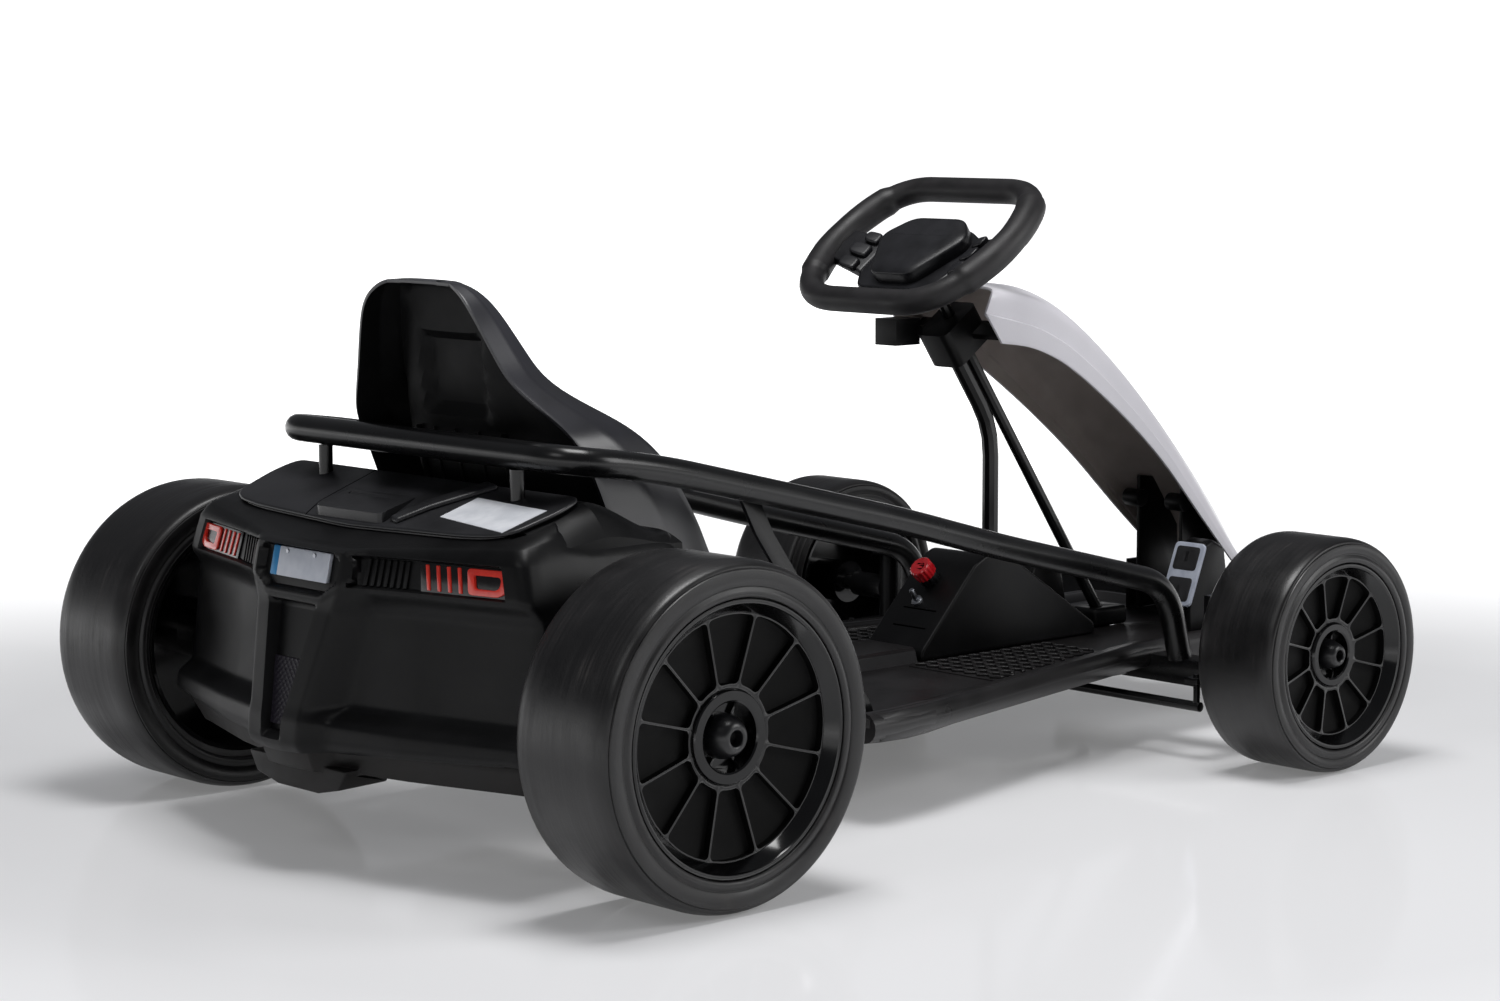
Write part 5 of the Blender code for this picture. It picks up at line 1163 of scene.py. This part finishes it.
glossy_red = mottled("glossy_red_polycarbonate", ("#c4151f", "#dc2a33"), (0.14, 0.22), 10, 4.0, 0.02,
                     {"IOR": 1.58})
BUTTON_FOOT, BUTTON_OUT = Vector((0.634, 0.006, 0.1660)), Vector((-0.7245, 0.0, 0.6883)).normalized()
button_place = Matrix.Translation(Vector((AXLE_X, 0, 0)) + BUTTON_FOOT)
button_turn = button_place @ BUTTON_OUT.to_track_quat("Z", "Y").to_matrix().to_4x4()


def knob(name, radius, foot, rise, teeth, bevel):
    """A round cap along the button's axis, with grip teeth round it."""
    piece = rod(radius, rise - foot, (0, 0, (foot + rise) / 2), sides=teeth * 4)
    piece.name = name
    for k, vert in enumerate(piece.data.vertices):
        if (k // 2) % 4 >= 2:
            vert.co.x, vert.co.y = vert.co.x * 0.94, vert.co.y * 0.94
    stepped(piece, lambda spot: spot.z > rise - 0.0001, ((0.0015, 0.0010), (radius * 0.35, -0.0008)))
    for vert in applied(rounded(piece, bevel, 2, 40)).data.vertices:
        vert.co = button_turn @ vert.co
    return piece


settle(knob("button_cap", 0.0118, 0.0120, 0.0240, 16, 0.0005), "push_button", glossy_red, ["push_button"])
settle(knob("button_sleeve", 0.0105, 0.0008, 0.0118, 12, 0.0004), "push_button", satin_abs)
TOGGLE = [Vector((0.6175, 0.006, 0.1435)), Vector((0.6115, 0.006, 0.1490)), Vector((0.6045, 0.006, 0.1600))]
toggle = []
for radius, a, b in zip((0.0060, 0.0028), TOGGLE, TOGGLE[1:]):
    lever = rod(radius, (b - a).length, Vector((AXLE_X, 0, 0)) + (a + b) / 2,
                (b - a).to_track_quat("Z", "Y").to_euler(), 24)
    toggle.append(applied(rounded(lever, 0.0008, 2, 30)))
settle(join(toggle), "console", zinc)

# Pedals: moulded wedges screwed to the floor; the drive pedal has a pale rubber pad with
# a raised rim and two dark inlays, each a flat ring with a short bar in it.

PEDAL_AHEAD, REST_SHARE = 0.012, 0.70
pedal = copy_of("drive_pedal", "wedge_drive_pedal", 0.0030, 4, 25)
for vert in pedal.data.vertices:
    vert.co.x += PEDAL_AHEAD
settle(pedal, "drive_pedal", grained_pp, ["drive_pedal"])
rest = copy_of("foot_rest", "wedge_foot_rest", 0.0030, 4, 25)
rest_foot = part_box("foot_rest")[0].z
for vert in rest.data.vertices:
    vert.co.z = rest_foot + (vert.co.z - rest_foot) * REST_SHARE
settle(rest, "foot_rest", grained_pp, ["foot_rest"])
pale_rubber = mottled("pale_rubber_pad", ("#a3a9b8", "#b9bfcc"), (0.45, 0.6), 14, 1.0, 0.05)
dark_rubber = mottled("dark_rubber_inlay", ("#101012", "#19191c"), (0.5, 0.65), 14, 1.0, 0.05)
PAD_LOW, PAD_HIGH = Vector((0.8785, 0.127)), Vector((0.9045, 0.190))
PAD_OUT = Vector((-0.92, 0.38)).normalized()
PAD_Y, PAD_HALF, PAD_LONG = -0.110, 0.0200, 0.068
along_pad = PAD_HIGH - PAD_LOW


def on_pedal(name, outline, foot, rise, bevel):
    """A plate over an outline of (across, along) on the pedal's leaning face."""
    piece = slab(name, outline, foot, rise, "z", bevel, 3)
    for vert in applied(piece).data.vertices:
        spot = PAD_LOW + along_pad * (vert.co.y / PAD_LONG) + PAD_OUT * vert.co.z
        vert.co = (AXLE_X + spot.x, PAD_Y + vert.co.x, spot.y)
    return piece


whole = soft_outline(oblong(-PAD_HALF, PAD_HALF, 0.0, PAD_LONG), 0.006)
settle(on_pedal("pedal_tread", whole, 0.0006, 0.0046, 0.0010), "pedal_pad", pale_rubber, ["pedal_pad"])
inlays = []
for low, turn in ((0.0045, 1), (0.0635, -1)):
    ring = oblong(-0.0155, 0.0155, low, low + turn * 0.0255)
    inner = oblong(-0.0105, 0.0105, low + turn * 0.0048, low + turn * 0.0220)
    frame_piece = on_pedal("pad_inlay", soft_outline(ring, 0.004), 0.0040, 0.0050, 0.0003)
    carve(frame_piece, on_pedal("pad_window", soft_outline(inner, 0.002), 0.0030, 0.0060, 0.0001))
    inlays.append(frame_piece)
    bar = oblong(-0.0022, 0.0022, low + turn * 0.0048, low + turn * 0.0165)
    inlays.append(on_pedal("pad_bar", bar, 0.0040, 0.0050, 0.0003))
settle(join(inlays), "pedal_pad", dark_rubber)

# Fairing: a long arched nose of white ABS, vacuum-formed and trimmed, open below.
# Its outside is a clean satin white with a crease above the lower edge; its inside is rougher and dull,
# with a brownish grey that is painted shade and a painted brown reflection.

white_abs = mottled("satin_white_abs", ("#dddbe1", "#e7e5eb"), (0.28, 0.38), 160, 8.0, 0.03, {"IOR": 1.54})
fairing_inside_shade = mottled("inside_abs_painted_shade", ("#aaa09a", "#bab1ab"), (0.60, 0.72), 60, 1.8, 0.05, {"IOR": 1.54})
FAIRING_ROWS = [  # lower edge (x, z), side's top (x, z), crown (x, z), half width
    ((0.657, 0.4100), (0.6480, 0.4650), (0.684, 0.4680), 0.0690),
    ((0.700, 0.4050), (0.7200, 0.4530), (0.745, 0.4640), 0.0700),
    ((0.745, 0.3880), (0.7700, 0.4250), (0.798, 0.4470), 0.0705),
    ((0.790, 0.3600), (0.8160, 0.3900), (0.850, 0.4160), 0.0710),
    ((0.850, 0.3180), (0.8750, 0.3400), (0.911, 0.3690), 0.0700),
    ((0.910, 0.2700), (0.9320, 0.2850), (0.977, 0.3070), 0.0670),
    ((0.970, 0.2120), (0.9885, 0.2250), (1.033, 0.2480), 0.0620),
    ((1.012, 0.1740), (1.0270, 0.1820), (1.073, 0.2010), 0.0575),
    ((1.056, 0.1350), (1.0680, 0.1420), (1.104, 0.1570), 0.0530)]
net = []
for station, ((ex, ez), (tx, tz), (cx, cz), half) in enumerate(FAIRING_ROWS):
    low, top, crown = Vector((ex, ez)), Vector((tx, tz)), Vector((cx, cz))
    crease = low.lerp(top, 0.40)
    if station == 0:
        crease = Vector((0.6345, 0.4400))
    nearly, over = top.lerp(crease, 0.12), top.lerp(crown, 0.10)
    left = [(low.x, half, low.y), (crease.x, half, crease.y),
            (crease.x + 0.0010, half - 0.0022, crease.y + 0.0012), (nearly.x, half - 0.0030, nearly.y),
            (over.x, half - 0.0105, over.y)]
    for share, climb in ((0.45, 0.46), (0.82, 0.82), (1.0, 0.94)):
        spot = top.lerp(crown, climb)
        left.append((spot.x, (half - 0.006) * (1 - share) * 0.96, spot.y - 0.002 * (1 - share)))
    net.append(fine(left, (6, 1, 7, 4, 6, 5, 4)))
rows = resampled(net, (8,) * 8)
for turn in range(14):
    rows = softened(rows, 1, -1)
    if turn < 4:
        rows = softened(rows.swapaxes(0, 1), 10, -1).swapaxes(0, 1)
nose = sheet("nose_fairing", np.concatenate([rows, rows[:, -2::-1] * (1, -1, 1)], axis=1))
if sum(face.normal.z for face in nose.data.polygons) < 0:
    flip(nose)
nose.data.materials.append(white_abs)
# The inner face takes the painted shade and painted brown reflection.
nose.data.materials.append(fairing_inside_shade)
settle(rounded(walled(nose, 0.0028, -1.0, 1), 0.0008, 2, 60), "fairing", white_abs, ["fairing"], 24)

# Fairing bracket: a moulded foot with two tall plates that reach up inside the nose, each
# with a bolted bush at its rear edge.

BRACKET_FOOT_TOP = 0.150
foot = copy_of("fairing_bracket", "bracket_foot")
for vert in foot.data.vertices:
    vert.co.z = min(vert.co.z, BRACKET_FOOT_TOP)
parts = [foot]
PLATE = [(0.9775, 0.100), (0.9775, 0.2450), (0.9990, 0.2420), (1.0060, 0.2330), (1.0230, 0.2090),
         (1.0400, 0.1860), (1.0440, 0.100)]
for side in (1, -1):
    low, high = sorted((side * 0.0275, side * 0.0325))
    parts.append(applied(slab("bracket_plate", from_axle(PLATE), low, high, "y", 0.0012, 2)))
    bush = rod(0.0095, 0.022, (AXLE_X + 0.9720, side * 0.0300, 0.2210), (math.pi / 2, 0, 0))
    parts.append(applied(rounded(bush, 0.0014, 2, 40)))
settle(join(parts), "fairing_bracket", grained_pp, ["fairing_bracket"])

# Bumper: one bowed hollow moulding, pushed over the nose tubes.
# Its edges are well rounded, so a soft line of light runs along its top.

settle(copy_of("bumper", "moulded_bumper", 0.0050, 3, 25), "bumper", grained_pp, ["bumper"])

# Battery: a plain cased block that stands on the tray inside the cover.
# Its moulded case has an even satin black with a fine grain.

battery_pp = mottled("battery_case_polypropylene", ("#141415", "#1a1a1b"), (0.40, 0.52), 70, 1.6, 0.06,
                     {"IOR": 1.49})
settle(copy_of("battery", "plain_battery"), "battery", battery_pp, ["battery"])

# Studio: a white floor running out to a low white wall, dim room light and three soft
# lamps at a plain level, and the camera of the photograph.

CAMERA_AT = (AXLE_X - 1.7812, -2.3730, 0.6631)
CAMERA_YAW, CAMERA_PITCH, CAMERA_ROLL = 0.8323, 0.1218, -0.0035
LENS = 36.0 * 3366.28 / 1500

# White lacquer: it mirrors the kart softly; past the lamps' reach camera, mirror and
# glass rays find it glowing at white, so the ground has no end, and shadows stay.
white_floor, floor_tree, floor_shader = new_surface(
    "white_lacquered_floor", {"Base Color": linear("#f4f4f6"), "Emission Color": (1, 1, 1, 1)})
floor_spot = add_node(floor_tree, "TexCoord", {})
floor_wear = add_node(floor_tree, "TexNoise", {"Scale": 3.0, "Detail": 3.0},
                      {"Vector": (floor_spot, "Object")})
floor_gloss = add_node(floor_tree, "MapRange", {"To Min": 0.07, "To Max": 0.14},
                       {"Value": (floor_wear, "Fac")})
seen = add_node(floor_tree, "LightPath", {})
far = add_node(floor_tree, "VectorMath", {"operation": "LENGTH"}, {0: (floor_spot, "Object")})
glow = add_node(floor_tree, "MapRange", {"From Min": 0.9, "From Max": 3.0, "To Min": 0.16, "To Max": 1.0},
                {"Value": (far, "Value")})
rays = (seen, "Is Camera Ray")
for name in ("Is Glossy Ray", "Is Transmission Ray"):
    either = add_node(floor_tree, "Math", {"operation": "MAXIMUM"}, {0: rays, 1: (seen, name)})
    rays = (either, "Value")
shown = add_node(floor_tree, "Math", {"operation": "MULTIPLY"}, {0: (glow, "Result"), 1: rays})
link(floor_tree, floor_shader,
     {"Roughness": (floor_gloss, "Result"), "Emission Strength": (shown, "Value")})
bpy.ops.mesh.primitive_plane_add(size=24.0, location=(0, 0, 0))
bpy.context.object.name = "studio_floor"
bpy.ops.mesh.primitive_cylinder_add(vertices=96, radius=11.0, depth=1.5, end_fill_type="NOTHING",
                                    location=(0, 0, 0.75))
bpy.context.object.name = "studio_wall"
for name in ("studio_floor", "studio_wall"):
    bpy.data.objects[name].data.materials.append(white_floor)

world = bpy.data.worlds.new("dim_room")
bpy.context.scene.world = world
world.use_nodes = True
world.node_tree.nodes.clear()
room = add_node(world.node_tree, "Background", {"Color": (0.92, 0.94, 1.0, 1), "Strength": 0.14})
add_node(world.node_tree, "OutputWorld", {}, {"Surface": (room, "Background")})

LAMPS = [  # place, aimed at, size, watts
    ((-0.3, -0.3, 2.5), (-0.1, 0.0, 0.2), 1.0, 40),
    ((-2.8, -0.4, 2.3), (-0.4, 0.0, 0.3), 1.0, 8),
    ((1.6, -2.5, 1.6), (0.2, 0.0, 0.3), 1.4, 34),
]
for k, (place, target, size, watts) in enumerate(LAMPS):
    bpy.ops.object.light_add(type="AREA", location=place)
    lamp = bpy.context.object
    lamp.name = f"softbox_{k + 1}"
    lamp.data.size, lamp.data.energy = size, watts
    lamp.rotation_euler = (Vector(target) - Vector(place)).to_track_quat("-Z", "Y").to_euler()

bpy.ops.object.camera_add(location=CAMERA_AT)
camera = bpy.context.object
turn = (Matrix.Rotation(CAMERA_YAW - math.pi / 2, 3, "Z")
        @ Matrix.Rotation(math.pi / 2 - CAMERA_PITCH, 3, "X") @ Matrix.Rotation(CAMERA_ROLL, 3, "Z"))
camera.rotation_euler = turn.to_euler()
camera.data.lens, camera.data.sensor_width = LENS, 36.0
bpy.context.scene.camera = camera
bpy.context.scene.view_settings.view_transform = "Standard"
